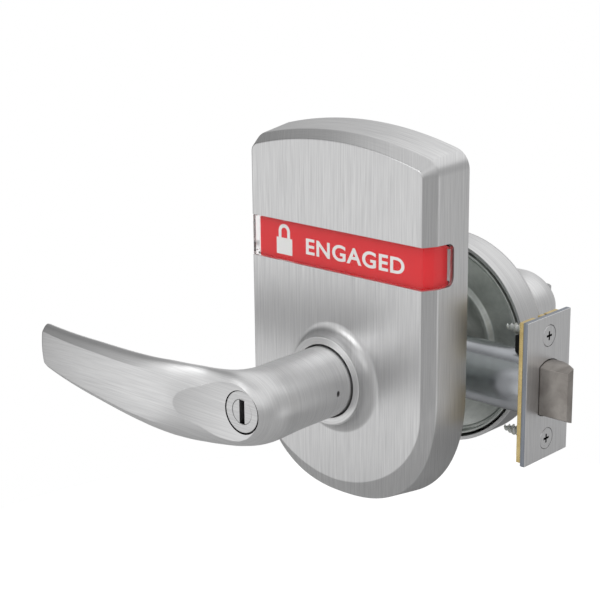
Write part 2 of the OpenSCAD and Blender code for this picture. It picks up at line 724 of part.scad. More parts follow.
// Housing in the door's cross bore: a drum round the retractor and a smaller cap round the cam arm
cap_bore_r = finger_orbit_r + cam_arm_r + slide_gap;
drum_in_y = retractor_half_y + slide_gap;
chassis_hole_r = tube_r + 0.2;
module chassis_housing() {
  cap_r = cap_bore_r + chassis_wall;
  cap_end_y = sleeve_start_y + chassis_end_t;
  color("lightsteelblue") difference() {
    union() {
      axis_rod(chassis_r, -drum_in_y - chassis_wall, chassis_half_len);
      axis_rod(cap_r, -cap_end_y, 0);
    }
    axis_rod(chassis_r - chassis_wall, -drum_in_y, chassis_half_len - chassis_end_t);
    axis_rod(cap_bore_r, -sleeve_start_y, 0);
    axis_rod(sleeve_r + fit_gap / 2, -cap_end_y - 1, chassis_half_len + 1);
    x_rod(chassis_hole_r, cap_r, chassis_r + 1);
  }
}

// Bearing sleeve of a spindle, held by the chassis and a mounting plate
module hub_sleeve(seat_y) {
  shoulder_r = sleeve_r + 2.4;
  difference() {
    union() {
      axis_rod(sleeve_r, sleeve_start_y, driver_at(seat_y) - slide_gap);
      axis_rod(shoulder_r, seat_y + cage_wall + fit_gap, seat_y + cage_wall + fit_gap + 1.6);
    }
    axis_rod(sleeve_bore_r, sleeve_start_y - 1, driver_at(seat_y) + 1);
  }
}
module hub_sleeve_out() { color("darkgray") hub_sleeve(plate_y); }
module hub_sleeve_in() { color("darkgray") mirror([0, 1, 0]) hub_sleeve(in_floor_y); }

// Sliding retractor: a fork for the cam finger, a slot for the bar and a hook for the latch tail
spring_bore_r = 2.3;
spring_bore_z = 6.4;
spring_seat_x = 8;
retractor_low_x = -8;
module retractor() {
  fork_x = finger_orbit_r * sin(finger_tilt);
  fork_half = finger_r + slide_gap;
  fork_low = finger_orbit_r * cos(finger_tilt) - fork_half;
  horn = 3;
  horn_top = finger_orbit_r + finger_r + 1;
  hook_end = hook_x + hook_t + slide_gap;
  mouth_x = hook_end + 2.7;
  body_half = hook_half_z + 1;
  slot_r = bar_r + slide_gap;
  front_x = fork_x + fork_half;
  rear_x = fork_x - fork_half;
  shoulder_z = body_half + 2;
  color("darkgray") difference() {
    outward(-retractor_half_y, 2 * retractor_half_y) polygon([
      [retractor_low_x, -body_half - 1.5], [throw, -body_half - 1.5], [hook_x - 0.5, -body_half],
      [mouth_x, -body_half], [mouth_x, body_half], [hook_x - 0.5, body_half],
      [front_x + horn, shoulder_z], [front_x + horn, horn_top], [front_x, horn_top], [front_x, fork_low],
      [rear_x, fork_low], [rear_x, horn_top], [rear_x - horn, horn_top], [rear_x - horn, shoulder_z],
      [retractor_low_x, shoulder_z]]);
    block([0, -retractor_half_y - 1, -slot_r], [throw, retractor_half_y + 1, slot_r]);
    for (x = [0, throw]) translate([x, 0, 0]) axis_rod(slot_r, -retractor_half_y - 1, retractor_half_y + 1);
    block([hook_x - slide_gap, -tail_half_y - slide_gap, -hook_half_z - slide_gap],
          [hook_end, tail_half_y + slide_gap, hook_half_z + slide_gap]);
    block([hook_end - 0.1, -tail_half_y - slide_gap, -tail_half_z - slide_gap],
          [mouth_x + 1, tail_half_y + slide_gap, tail_half_z + slide_gap]);
    for (side = [-1, 1]) translate([0, 0, side * spring_bore_z])
      x_rod(spring_bore_r, retractor_low_x - 1, spring_seat_x);
  }
}

// A compression spring along X, one unbroken coil
module coil_along_x(x0, x1, coil_r, wire_r, turns) {
  steps = 10;
  start = x0 + wire_r;
  end = x1 - wire_r;
  swept_wire([for (i = [0 : turns * steps]) let (a = 360 * i / steps)
    [start + (end - start) * i / (turns * steps), coil_r * cos(a), coil_r * sin(a)]], wire_r, 5);
}
module retractor_springs() {
  wall_x = sqrt(pow(chassis_r - chassis_wall, 2) - pow(spring_bore_z + 2, 2)) - 0.2;
  color("dimgray") for (side = [-1, 1])
    translate([0, 0, side * spring_bore_z]) coil_along_x(-wall_x, spring_seat_x - 0.1, 1.6, 0.3, 8);
}

// Inside mounting plate: a turned pressing with a bead that meets the door, a shallow groove near
// its rim and a lip round it
bead_in_r = 24.6;
bead_out_r = 26.4;
groove_w = 1.6;
groove_depth = 1.2;
rose_r = bolt_spacing / 2 + rose_margin;
lip_r = rose_r - rose_wall - 1.1;
module mount_plate_in() {
  back_y = in_face_y + in_sheet;
  floor_under_y = in_floor_y - in_sheet;
  bead_back_y = door_y + in_sheet;
  hole_r = sleeve_r + fit_gap / 2;
  tab_half_w = 4;
  color("lightsteelblue") mirror([0, 1, 0]) difference() {
    union() {
      turned() polygon([
        [hole_r, floor_under_y], [bead_in_r - 1.1, floor_under_y], [bead_in_r, door_y], [bead_out_r, door_y],
        [bead_out_r + 1.2, in_face_y], [lip_r - 1, in_face_y], [lip_r - 1, door_y], [lip_r, door_y],
        [lip_r, back_y], [bead_out_r + 0.4, back_y], [bead_out_r - 0.6, bead_back_y],
        [bead_in_r + 0.6, bead_back_y], [bead_in_r - 0.5, in_floor_y], [hole_r, in_floor_y]]);
      for (a = [30, 120, 210, 300]) rotate([0, a, 0])
        block([lip_r - 0.5, -back_y, -tab_half_w], [rose_r - rose_wall - fit_gap, -in_face_y, tab_half_w]);
    }
    difference() {
      axis_rod(lip_r - 1, in_face_y - 1, in_face_y + groove_depth);
      axis_rod(lip_r - 1 - groove_w, in_face_y - 2, in_face_y + groove_depth + 1);
    }
    bolt_places() axis_rod(bolt_r + fit_gap, door_y - 1, in_floor_y + 3);
  }
}

// Inside rose: straight rim, domed face and a raised boss for the collar
module rose_in() {
  edge = 1.2;
  rim_y = door_y + rose_rim + edge * 0.3;
  dome_r = rose_r - edge;
  dome = [for (a = [0 : 9 : 90]) [boss_r + (dome_r - boss_r) * cos(a), rim_y + (cover_y - rim_y) * sin(a)]];
  inner = [for (i = [10 : -1 : 0]) [dome[i][0] - rose_wall * 0.6, dome[i][1] - rose_wall]];
  bore_r = collar_r + fit_gap / 2;
  color("silver") mirror([0, 1, 0]) turned() polygon(concat(
    [[rose_r - rose_wall, door_y], [rose_r, door_y], [rose_r, rim_y - edge]], dome,
    boss_curve(collar_r + boss_lip, boss_r, cover_y, boss_lip_y),
    [[bore_r, boss_lip_y], [bore_r, cover_y - rose_wall]], inner));
}

// Through bolts from the inside plate, and the posts on the outside plate that take them
module through_bolt(side) {
  head_y = in_face_y + in_sheet;
  color("gray") translate([0, 0, side * bolt_spacing / 2]) difference() {
    union() {
      axis_rod(bolt_r, -head_y - 0.5, bolt_end_y);
      axis_rod(bolt_head_r, -head_y - bolt_head_t, -head_y);
    }
    cross_in_head(3, 0.5, head_y + 1.2, head_y + bolt_head_t + 1);
  }
}
module through_bolt_upper() { through_bolt(1); }
module through_bolt_lower() { through_bolt(-1); }
module bolt_post(side) {
  color("darkgray") translate([0, 0, side * bolt_spacing / 2]) difference() {
    union() {
      axis_rod(bolt_post_r, post_end_y, plate_y);
      axis_rod(bolt_post_r + 1.5, plate_y, plate_y + rivet_t);
    }
    axis_rod(bolt_r + fit_gap / 2, post_end_y - 1, bolt_end_y + 2);
  }
}
module bolt_post_upper() { bolt_post(1); }
module bolt_post_lower() { bolt_post(-1); }

// Latch bolt: a round body with flats, a bevelled nose and a full-round shoulder behind the plates
bolt_rear_x = backing_back_x - 12;
tail_seat = 3;
module latch_bolt() {
  nose_x = backset + throw;
  nose_y = -bolt_w / 2 + bolt_nose_w;
  slope_x = backset + 0.7;
  lean = (nose_x - slope_x) / (bolt_w / 2 - nose_y);
  color("rosybrown") difference() {
    union() {
      intersection() {
        x_rod(latch_r, bolt_rear_x + 1, nose_x);
        block([bolt_rear_x, -bolt_w / 2, -tube_r], [nose_x, bolt_w / 2, tube_r]);
      }
      x_rod(latch_r, bolt_rear_x, backing_back_x - slide_gap);
    }
    translate([0, 0, -tube_r]) linear_extrude(2 * tube_r)
      polygon([[nose_x, nose_y], [nose_x + 5, nose_y], [nose_x + 5, bolt_w / 2 + 1],
               [slope_x - lean, bolt_w / 2 + 1]]);
    block([bolt_rear_x - 1, -tail_half_y - fit_gap, -tail_half_z - fit_gap],
          [bolt_rear_x + tail_seat + fit_gap, tail_half_y + fit_gap, tail_half_z + fit_gap]);
  }
}
module latch_tail() {
  color("gray") union() {
    block([hook_x + hook_t - 0.1, -tail_half_y, -tail_half_z],
          [bolt_rear_x + tail_seat, tail_half_y, tail_half_z]);
    block([hook_x, -tail_half_y, -hook_half_z], [hook_x + hook_t, tail_half_y, hook_half_z]);
  }
}
module latch_spring() {
  color("dimgray") coil_along_x(tube_end_x + cap_t + 0.1, bolt_rear_x - 0.1, 8, 0.5, 6);
}
module latch_tube() {
  color("lightsteelblue") difference() {
    x_rod(tube_r, tube_end_x, backing_back_x);
    x_rod(tube_bore_r, tube_end_x - 1, backing_back_x + 1);
    block([backing_back_x - 10, -0.5, 0], [backing_back_x - 7.5, 0.5, tube_r + 1]);
  }
}
module tube_cap() {
  prong = 3.2;
  color("dimgray") difference() {
    union() {
      x_rod(tube_bore_r - fit_gap / 2, tube_end_x, tube_end_x + cap_t);
      for (side = [-1, 1]) translate([0, 0, side * (tube_bore_r - 1.3)])
        block([tube_end_x - prong, -3, -0.9], [tube_end_x + 0.5, 3, 0.9]);
    }
    block([tube_end_x - prong - 1, -tail_half_y - slide_gap, -tail_half_z - slide_gap],
          [tube_end_x + cap_t + 1, tail_half_y + slide_gap, tail_half_z + slide_gap]);
  }
}

// Screws of the faceplate, with their heads flush in the plate
screw_head_r = 4.15;
screw_head_t = 2.7;
screw_r = 1.9;
function screw_z(side) = side * screw_spacing / 2;
module plate_clip() {
  top_z = screw_z(1) - screw_r - 0.5;
  color("black") difference() {
    block([backing_back_x - 4.2, -9, tube_r - 3], [backing_back_x, 9, top_z]);
    x_rod(tube_r + 0.02, backing_back_x - 6, backing_back_x + 1);
  }
}
module face_screw(side) {
  tip_x = backset - screw_len;
  color("gainsboro") translate([0, 0, screw_z(side)]) rotate([0, 90, 0]) rotate_extrude($fn = 48) polygon([
    [0, tip_x], [screw_r * 0.75, tip_x + 3.5], [screw_r, tip_x + 7], [screw_r, backset - screw_head_t],
    [screw_head_r, backset - 0.3], [screw_head_r, backset], [0, backset]]);
}
module face_screw_upper() { face_screw(1); }
module face_screw_lower() { face_screw(-1); }
// Countersunk screw holes and the bolt's opening in the plates at the door edge
module plate_openings() {
  start_x = backing_back_x - 1;
  end_x = backset + 1;
  hole_r = screw_r + fit_gap;
  sink_r = screw_head_r + fit_gap;
  half_y = bolt_w / 2 + slide_gap;
  for (side = [-1, 1]) translate([0, 0, screw_z(side)]) rotate([0, 90, 0]) rotate_extrude($fn = 48)
    polygon([[0, start_x], [hole_r, start_x], [hole_r, backset - screw_head_t],
             [sink_r, backset - 0.3], [sink_r, end_x], [0, end_x]]);
  intersection() {
    x_rod(latch_r + slide_gap, start_x, end_x);
    block([start_x, -half_y, -tube_r - 1], [end_x, half_y, tube_r + 1]);
  }
}
module faceplate() {
  color("silver") difference() {
    block([face_back_x, -face_w / 2, -face_h / 2], [backset, face_w / 2, face_h / 2]);
    plate_openings();
  }
}
module backing_plate() {
  half_w = face_w / 2 - 0.2;
  top_z = face_h / 2 - 0.2;
  low_z = 1.3 - face_h / 2;
  notch = 1.1;
  function across(share) = half_w * (2 * share - 1);
  color("gold") difference() {
    block([backing_back_x, -half_w, low_z], [face_back_x, half_w, top_z]);
    plate_openings();
    for (n = [[0.29, 0.42], [0.51, 0.56], [0.83, 1.1]])
      block([backing_back_x - 1, across(n[0]), top_z - notch], [face_back_x + 1, across(n[1]), top_z + 1]);
  }
}

cover();
lens();
collar_out();
mount_plate_out();
flag_guide_left();
flag_guide_right();
spring_cage_out();
return_spring_out();
cover_screws();
lever_out();
face_ring_out();
spindle_out();
catch_out();
spring_driver_out();
turn_disc();
privacy_bar();
drive_dog();
pinion();
thumb_turn();
flag_carrier();
engaged_label();
flag_rack();
chassis_housing();
hub_sleeve_out();
hub_sleeve_in();
retractor();
retractor_springs();
mount_plate_in();
rose_in();
collar_in();
spring_cage_in();
return_spring_in();
through_bolt_upper();
through_bolt_lower();
bolt_post_upper();
bolt_post_lower();
lever_in();
face_ring_in();
spindle_in();
catch_in();
spring_driver_in();
latch_bolt();
latch_tail();
latch_spring();
latch_tube();
tube_cap();
plate_clip();
faceplate();
backing_plate();
face_screw_upper();
face_screw_lower();
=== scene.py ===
import math
import bmesh
import bpy
from mathutils import Matrix, Vector


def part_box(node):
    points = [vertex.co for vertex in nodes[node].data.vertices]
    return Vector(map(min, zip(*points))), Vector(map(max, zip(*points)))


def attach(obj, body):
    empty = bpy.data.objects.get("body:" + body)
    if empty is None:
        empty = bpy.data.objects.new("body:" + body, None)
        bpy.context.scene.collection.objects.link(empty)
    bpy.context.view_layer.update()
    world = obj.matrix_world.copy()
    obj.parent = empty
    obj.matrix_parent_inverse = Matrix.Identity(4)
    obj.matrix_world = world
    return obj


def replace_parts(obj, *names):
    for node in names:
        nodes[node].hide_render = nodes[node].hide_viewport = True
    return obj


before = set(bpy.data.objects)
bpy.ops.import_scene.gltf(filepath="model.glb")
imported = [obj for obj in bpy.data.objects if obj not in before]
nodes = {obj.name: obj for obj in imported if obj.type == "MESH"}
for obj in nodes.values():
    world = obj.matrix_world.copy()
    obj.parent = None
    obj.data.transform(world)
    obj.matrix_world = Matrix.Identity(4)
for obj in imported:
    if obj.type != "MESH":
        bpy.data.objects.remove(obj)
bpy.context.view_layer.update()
mm = 0.001

# The camera stands to the right of the outside cover and a little above it, as in the
# photograph, with a long lens and hardly any roll.
camera_azimuth = math.radians(42.25)
camera_elevation = math.radians(16.28)
camera_roll = math.radians(-0.62)
camera_place = Vector((408.15, -512.31, 212.92)) * mm
focal_px = 1684.64
image_px = 600
back = Vector((math.sin(camera_azimuth) * math.cos(camera_elevation),
               -math.cos(camera_azimuth) * math.cos(camera_elevation), math.sin(camera_elevation)))
level_right = Vector((math.cos(camera_azimuth), math.sin(camera_azimuth), 0))
level_up = back.cross(level_right)
right = math.cos(camera_roll) * level_right + math.sin(camera_roll) * level_up
up = back.cross(right)
camera = bpy.data.objects.new("camera", bpy.data.cameras.new("camera"))
camera.data.sensor_width = 36
camera.data.lens = focal_px / image_px * camera.data.sensor_width
camera.data.clip_start = 0.02
turn = Matrix((right, up, back)).transposed()
camera.matrix_world = Matrix.Translation(camera_place) @ turn.to_4x4()
bpy.context.scene.collection.objects.link(camera)
bpy.context.scene.camera = camera
bpy.context.scene.view_settings.view_transform = "Standard"


# The studio is a white room. Soft panels brighten it overhead, behind the lock and in front
# of it, and grey cards to the sides, below and over the lever darken it and shape the metal.
def put(tree, kind, sockets=None, **settings):
    node = tree.nodes.new(kind if kind.startswith("NodeGroup") else "ShaderNode" + kind)
    for name, value in settings.items():
        setattr(node, name, value)
    for name, value in (sockets or {}).items():
        if isinstance(value, bpy.types.NodeSocket):
            tree.links.new(value, node.inputs[name])
        else:
            node.inputs[name].default_value = value
    return node


def maths(tree, operation, *values, clamp=False):
    return put(tree, "Math", dict(enumerate(values)), operation=operation, use_clamp=clamp).outputs[0]


def vectors(tree, operation, first, second=None, result="Vector"):
    sockets = {0: first}
    if second is not None:
        sockets["Scale" if operation == "SCALE" else 1] = second
    return put(tree, "VectorMath", sockets, operation=operation).outputs[result]


def rescaled(tree, value, low, high, to_low=0.0, to_high=1.0, **settings):
    sockets = {"Value": value, "From Min": low, "From Max": high, "To Min": to_low, "To Max": to_high}
    return put(tree, "MapRange", sockets, **settings).outputs[0]


panels = [((-0.65, -0.71, -0.26), 4.0, 0.48), ((-0.60, 0.76, 0.26), 7.0, 0.26),
          ((-0.88, 0.12, 0.46), 6.0, -0.16), ((0.95, -0.20, -0.20), 5.0, -0.12),
          ((-0.25, 0.35, -0.90), 4.0, -0.14), ((-0.98, 0.0, 0.05), 9.0, -0.36),
          ((-0.80, 0.55, -0.20), 14.0, -0.26), ((0.90, 0.33, -0.28), 40.0, 0.60),
          ((-0.22, -0.71, 0.66), 10.0, 0.38), ((0.20, -0.35, 0.92), 10.0, -0.28),
          ((-0.62, -0.25, 0.74), 12.0, -0.20)]
ceiling_towards = (0.10, 0.45, 0.89)
ceiling_strength = 0.50
ceiling_edge = (0.69, 0.83)
room_level = 0.42
mirrored_white = 0.06
world = bpy.data.worlds.new("studio")
world.use_nodes = True
bpy.context.scene.world = world
tree = world.node_tree
tree.nodes.clear()
direction = put(tree, "TexCoord").outputs["Generated"]
level = room_level
for towards, tightness, strength in panels:
    facing = vectors(tree, "DOT_PRODUCT", direction, Vector(towards).normalized(), "Value")
    glow = maths(tree, "POWER", maths(tree, "MAXIMUM", facing, 0.0), tightness)
    level = maths(tree, "MULTIPLY_ADD", glow, strength, level)
facing = vectors(tree, "DOT_PRODUCT", direction, ceiling_towards, "Value")
ceiling = rescaled(tree, facing, *ceiling_edge, 0.0, ceiling_strength, interpolation_type="SMOOTHSTEP")
level = maths(tree, "ADD", level, ceiling)
ray = put(tree, "LightPath")
room = put(tree, "Background", {"Color": (1, 1, 1, 1), "Strength": level})
backdrop = put(tree, "Background", {"Color": (1, 1, 1, 1), "Strength": 1.0})
straight = maths(tree, "MAXIMUM", ray.outputs["Is Camera Ray"], ray.outputs["Is Transmission Ray"])
in_metal = maths(tree, "MULTIPLY", ray.outputs["Is Glossy Ray"], mirrored_white)
white_share = maths(tree, "MAXIMUM", straight, in_metal)
seen = put(tree, "MixShader", {0: white_share, 1: room.outputs[0], 2: backdrop.outputs[0]})
put(tree, "OutputWorld", {"Surface": seen.outputs[0]})


def soft_lamp(name, place, width, watts):
    lamp = bpy.data.objects.new(name, bpy.data.lights.new(name, "AREA"))
    lamp.data.shape = "SQUARE"
    lamp.data.size = width
    lamp.data.energy = watts
    lamp.location = place
    lamp.rotation_euler = (-Vector(place)).to_track_quat("-Z", "Y").to_euler()
    bpy.context.scene.collection.objects.link(lamp)


soft_lamp("key_lamp", (-0.30, -1.65, 1.42), 1.2, 5.5)
soft_lamp("fill_lamp", (1.2, -1.0, 1.3), 1.6, 4.0)


# The floor is a plain white disc well below the lock, which hangs as if held by its door.
# It shows as white to the camera, takes the lock's soft shadow, and is dimmer in the metal,
# most of all behind the lock.
def object_place(tree):
    return put(tree, "TexCoord").outputs["Object"]


def place_parts(tree):
    parts = put(tree, "SeparateXYZ", {0: object_place(tree)})
    return [parts.outputs[axis] for axis in "XYZ"]


floor_z = -0.16
floor_r = 0.30
floor_white = 0.86
floor_lift = 0.55
dim_from_y, dim_to_y = 0.01, 0.12
dim_front, dim_back = -0.26, -0.62
floor_shape = bmesh.new()
bmesh.ops.create_circle(floor_shape, cap_ends=True, segments=96, radius=floor_r,
                        matrix=Matrix.Translation((0, 0, floor_z)))
floor_mesh = bpy.data.meshes.new("floor")
floor_shape.to_mesh(floor_mesh)
floor = bpy.data.objects.new("floor", floor_mesh)
bpy.context.scene.collection.objects.link(floor)
floor_finish = bpy.data.materials.new("floor_white")
floor_finish.use_nodes = True
tree = floor_finish.node_tree
tree.nodes.clear()
ray = put(tree, "LightPath")
dim = rescaled(tree, place_parts(tree)[1], dim_from_y, dim_to_y, dim_front, dim_back)
shade = maths(tree, "MULTIPLY_ADD", ray.outputs["Is Glossy Ray"], dim, floor_white)
grey = put(tree, "CombineColor", {0: shade, 1: shade, 2: shade})
paint = put(tree, "BsdfDiffuse", {"Color": grey.outputs[0]})
straight = maths(tree, "MAXIMUM", ray.outputs["Is Camera Ray"], ray.outputs["Is Transmission Ray"])
glow = maths(tree, "MULTIPLY", straight, floor_lift)
lift = put(tree, "Emission", {"Color": (1, 1, 1, 1), "Strength": glow})
both = put(tree, "AddShader", {0: paint.outputs[0], 1: lift.outputs[0]})
put(tree, "OutputMaterial", {"Surface": both.outputs[0]})
floor_mesh.materials.append(floor_finish)


# The chassis and the inside mounting plate are zinc plated: a pale bluish grey with cloudy
# patches. The plating group gives the clouds and fine spangle for every plated piece.
def new_group(name, inputs, outputs):
    group = bpy.data.node_groups.new(name, "ShaderNodeTree")
    for label, kind, value in inputs:
        socket = group.interface.new_socket(label, in_out="INPUT", socket_type=kind)
        if value is not None:
            socket.default_value = value
    for label, kind in outputs:
        group.interface.new_socket(label, in_out="OUTPUT", socket_type=kind)
    return group, put(group, "NodeGroupInput"), put(group, "NodeGroupOutput")


cloud_group, cloud_in, cloud_out = new_group(
    "plating_clouds",
    [("Vector", "NodeSocketVector", None), ("Cloud size", "NodeSocketFloat", 0.012),
     ("Fine size", "NodeSocketFloat", 0.0012)],
    [("Clouds", "NodeSocketFloat"), ("Fine", "NodeSocketFloat")])
cloud_scale = maths(cloud_group, "DIVIDE", 1.0, cloud_in.outputs["Cloud size"])
fine_scale = maths(cloud_group, "DIVIDE", 1.0, cloud_in.outputs["Fine size"])
clouds = put(cloud_group, "TexNoise", {"Vector": cloud_in.outputs["Vector"], "Scale": cloud_scale,
                                       "Detail": 4.0, "Roughness": 0.6, "Distortion": 0.4})
spangle = put(cloud_group, "TexNoise", {"Vector": cloud_in.outputs["Vector"], "Scale": fine_scale,
                                        "Detail": 3.0, "Roughness": 0.65})
for source, target in ((clouds, "Clouds"), (spangle, "Fine")):
    cloud_group.links.new(source.outputs["Fac"], cloud_out.inputs[target])


def new_finish(name):
    finish = bpy.data.materials.new(name)
    finish.use_nodes = True
    finish.node_tree.nodes.clear()
    return finish, finish.node_tree


def plating_in(tree, cloud_size, fine_size):
    sockets = {"Vector": object_place(tree), "Cloud size": cloud_size, "Fine size": fine_size}
    return put(tree, "Group", sockets, node_tree=cloud_group)


def between(tree, share, dark, light):
    mix = put(tree, "Mix", {"Factor": share, "A": (*dark, 1), "B": (*light, 1)}, data_type="RGBA")
    return mix.outputs["Result"]


def metal_surface(tree, colour, roughness, height, bump, depth, metallic=1.0):
    relief = put(tree, "Bump", {"Height": height, "Strength": bump, "Distance": depth})
    metal = put(tree, "BsdfPrincipled", {"Base Color": colour, "Metallic": metallic,
                                         "Roughness": roughness, "Normal": relief.outputs[0]})
    put(tree, "OutputMaterial", {"Surface": metal.outputs[0]})


def cloudy_metal(name, dark, light, rough, cloud_size=0.012, fine_size=0.0012, bump=0.12,
                 spread_rough=0.07, metallic=1.0):
    finish, tree = new_finish(name)
    plating = plating_in(tree, cloud_size, fine_size)
    colour = between(tree, rescaled(tree, plating.outputs["Clouds"], 0.3, 0.7), dark, light)
    fine = plating.outputs["Fine"]
    roughness = rescaled(tree, fine, 0.3, 0.7, rough - spread_rough, rough + spread_rough)
    metal_surface(tree, colour, roughness, fine, bump, 0.0002, metallic)
    return finish


def give(finish, *names):
    for name in names:
        node = nodes[name]
        if not node.material_slots:
            node.data.materials.append(finish)
        for place in node.material_slots:
            place.material = finish


zinc_plate = cloudy_metal("zinc_plate", (0.50, 0.53, 0.51), (0.82, 0.85, 0.82), 0.36, bump=0.08, metallic=0.6)
plain_steel = cloudy_metal("plain_steel", (0.36, 0.36, 0.355), (0.52, 0.515, 0.50), 0.38, 0.02, 0.0008)
spring_steel = cloudy_metal("spring_steel", (0.16, 0.16, 0.165), (0.25, 0.25, 0.25), 0.34, 0.01, 0.0006)
give(zinc_plate, "chassis_housing", "mount_plate_out", "spring_cage_out", "spring_cage_in")
give(plain_steel, "hub_sleeve_out", "hub_sleeve_in", "spindle_out", "spindle_in", "retractor", "cover_screws",
     "privacy_bar", "drive_dog", "spring_driver_out", "spring_driver_in", "latch_tail",
     "through_bolt_upper", "through_bolt_lower", "bolt_post_upper", "bolt_post_lower")
give(spring_steel, "return_spring_out", "return_spring_in", "retractor_springs", "latch_spring",
     "catch_out", "catch_in")


# The latch tube is drawn steel, plated bright. Its smooth wall shows soft broad reflections,
# and a small slot is cut in its top just behind the faceplate.
def link(mesh_builder, name, finish, body, sharp=35.0, weighted=True):
    mesh = bpy.data.meshes.new(name)
    mesh_builder.to_mesh(mesh)
    mesh_builder.free()
    piece = bpy.data.objects.new(name, mesh)
    bpy.context.scene.collection.objects.link(piece)
    mesh.materials.append(finish)
    mesh.shade_smooth()
    mesh.set_sharp_from_angle(angle=math.radians(sharp))
    if weighted:
        normals = piece.modifiers.new("face_normals", "WEIGHTED_NORMAL")
        normals.keep_sharp = True
    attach(piece, body)
    return piece


def rounded(profile, radius, steps=4):
    out = []
    count = len(profile)
    for i in range(count):
        here, before, after = Vector(profile[i]), Vector(profile[i - 1]), Vector(profile[(i + 1) % count])
        arm_in, arm_out = (before - here), (after - here)
        reach = min(radius, 0.4 * arm_in.length, 0.4 * arm_out.length)
        if reach < 1e-7 or arm_in.angle(arm_out) > math.radians(165):
            out.append(here)
            continue
        start, end = here + arm_in.normalized() * reach, here + arm_out.normalized() * reach
        for k in range(steps + 1):
            u = k / steps
            out.append(start * (1 - u) ** 2 + here * 2 * u * (1 - u) + end * u ** 2)
    return out


def join_up(shape, points, closed=True):
    last = len(points) if closed else len(points) - 1
    return [shape.edges.new((points[i], points[(i + 1) % len(points)])) for i in range(last)]


def turned(profile, axis="Y", side=-1, steps=144, closed=True):
    shape = bmesh.new()
    if axis == "Y":
        points = [shape.verts.new((r, side * d, 0)) for r, d in profile]
    else:
        points = [shape.verts.new((d, 0, r)) for r, d in profile]
    bmesh.ops.spin(shape, geom=points + join_up(shape, points, closed), cent=(0, 0, 0),
                   axis=(0, 1, 0) if axis == "Y" else (1, 0, 0), dvec=(0, 0, 0), angle=2 * math.pi,
                   steps=steps, use_merge=True, use_duplicate=False)
    bmesh.ops.remove_doubles(shape, verts=shape.verts, dist=1e-6)
    bmesh.ops.recalc_face_normals(shape, faces=shape.faces)
    return shape


def band(inner, outer, low, high):
    return [(inner, low), (outer, low), (outer, high), (inner, high)]


def plug(radius, low, high, **more):
    return turned(band(0, radius, low, high), closed=False, **more)


def shifted(shape, move):
    bmesh.ops.translate(shape, vec=move, verts=shape.verts)
    return shape


def block(low, high):
    shape = bmesh.new()
    size = Vector(high) - Vector(low)
    place = Matrix.Translation((Vector(high) + Vector(low)) / 2) @ Matrix.Diagonal((*size, 1))
    bmesh.ops.create_cube(shape, size=1, matrix=place)
    return shape


def bevel_edges(shape, edges, width, segments):
    bmesh.ops.bevel(shape, geom=edges, offset=width, offset_type="OFFSET", segments=segments, profile=0.5,
                    affect="EDGES", clamp_overlap=True, material=-1)


def soften(shape, width, segments=3, limit=30.0):
    edges = [e for e in shape.edges if len(e.link_faces) == 2 and e.calc_face_angle() > math.radians(limit)]
    bevel_edges(shape, edges, width, segments)
    return shape


def combine(shape, tool, operation="DIFFERENCE"):
    pair = []
    for part in (shape, tool):
        mesh = bpy.data.meshes.new("working")
        part.to_mesh(mesh)
        part.free()
        working = bpy.data.objects.new("working", mesh)
        bpy.context.scene.collection.objects.link(working)
        pair.append(working)
    cut = pair[0].modifiers.new("cut", "BOOLEAN")
    cut.object = pair[1]
    cut.operation = operation
    cut.solver = "EXACT"
    bpy.context.view_layer.update()
    result = bmesh.new()
    result.from_object(pair[0], bpy.context.evaluated_depsgraph_get())
    for working in pair:
        mesh = working.data
        bpy.data.objects.remove(working)
        bpy.data.meshes.remove(mesh)
    bmesh.ops.remove_doubles(result, verts=result.verts, dist=2e-6)
    return result


bright_zinc = cloudy_metal("bright_zinc", (0.40, 0.415, 0.44), (0.56, 0.58, 0.61), 0.22, 0.022, 0.002,
                           0.01, 0.02)
tube_low, tube_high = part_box("latch_tube")
tube_r = tube_high.z
tube_wall = 0.9 * mm
tube = turned(rounded(band(tube_r - tube_wall, tube_r, tube_low.x, tube_high.x), 0.3 * mm), axis="X")
slit_low, slit_high = tube_high.x - 10 * mm, tube_high.x - 7.5 * mm
tube = combine(tube, block((slit_low, -0.5 * mm, 0), (slit_high, 0.5 * mm, tube_r + mm)))
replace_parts(link(tube, "latch_tube_drawn", bright_zinc, "root"), "latch_tube")


# Black moulded plastic: the clip that holds the plates to the tube, a thin plate with a rib,
# the cap in the end of the tube and the rails that guide the flag.
def moulded(name, colour, rough, shine=0.5):
    finish, tree = new_finish(name)
    plating = plating_in(tree, 0.02, 0.0006)
    fine = plating.outputs["Fine"]
    shade = rescaled(tree, plating.outputs["Clouds"], 0.2, 0.8, 0.94, 1.0)
    tint = vectors(tree, "SCALE", colour, shade)
    roughness = rescaled(tree, fine, 0.3, 0.7, rough - 0.05, rough + 0.05)
    relief = put(tree, "Bump", {"Height": fine, "Strength": 0.08, "Distance": 0.0001})
    plastic = put(tree, "BsdfPrincipled", {"Base Color": tint, "Roughness": roughness,
                                           "Specular IOR Level": shine, "Normal": relief.outputs[0]})
    put(tree, "OutputMaterial", {"Surface": plastic.outputs[0]})
    return finish


black_plastic = moulded("black_plastic", (0.012, 0.012, 0.013), 0.5, 0.2)
give(black_plastic, "tube_cap", "flag_guide_left", "flag_guide_right")
clip_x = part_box("plate_clip")[1].x
clip_foot = tube_r - 3 * mm
clip_round = 0.3 * mm
rib = soften(block((clip_x - 10.5 * mm, -1.6 * mm, clip_foot), (clip_x, 1.6 * mm, 18.3 * mm)), clip_round)
flange = soften(block((clip_x - 1.5 * mm, -5 * mm, clip_foot), (clip_x, 5 * mm, 18.2 * mm)), clip_round)
clip = combine(rib, flange, "UNION")
clip = combine(clip, plug(tube_r + 0.02 * mm, clip_x - 12 * mm, clip_x + mm, axis="X"))
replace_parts(link(clip, "plate_clip_moulded", black_plastic, "root"), "plate_clip")


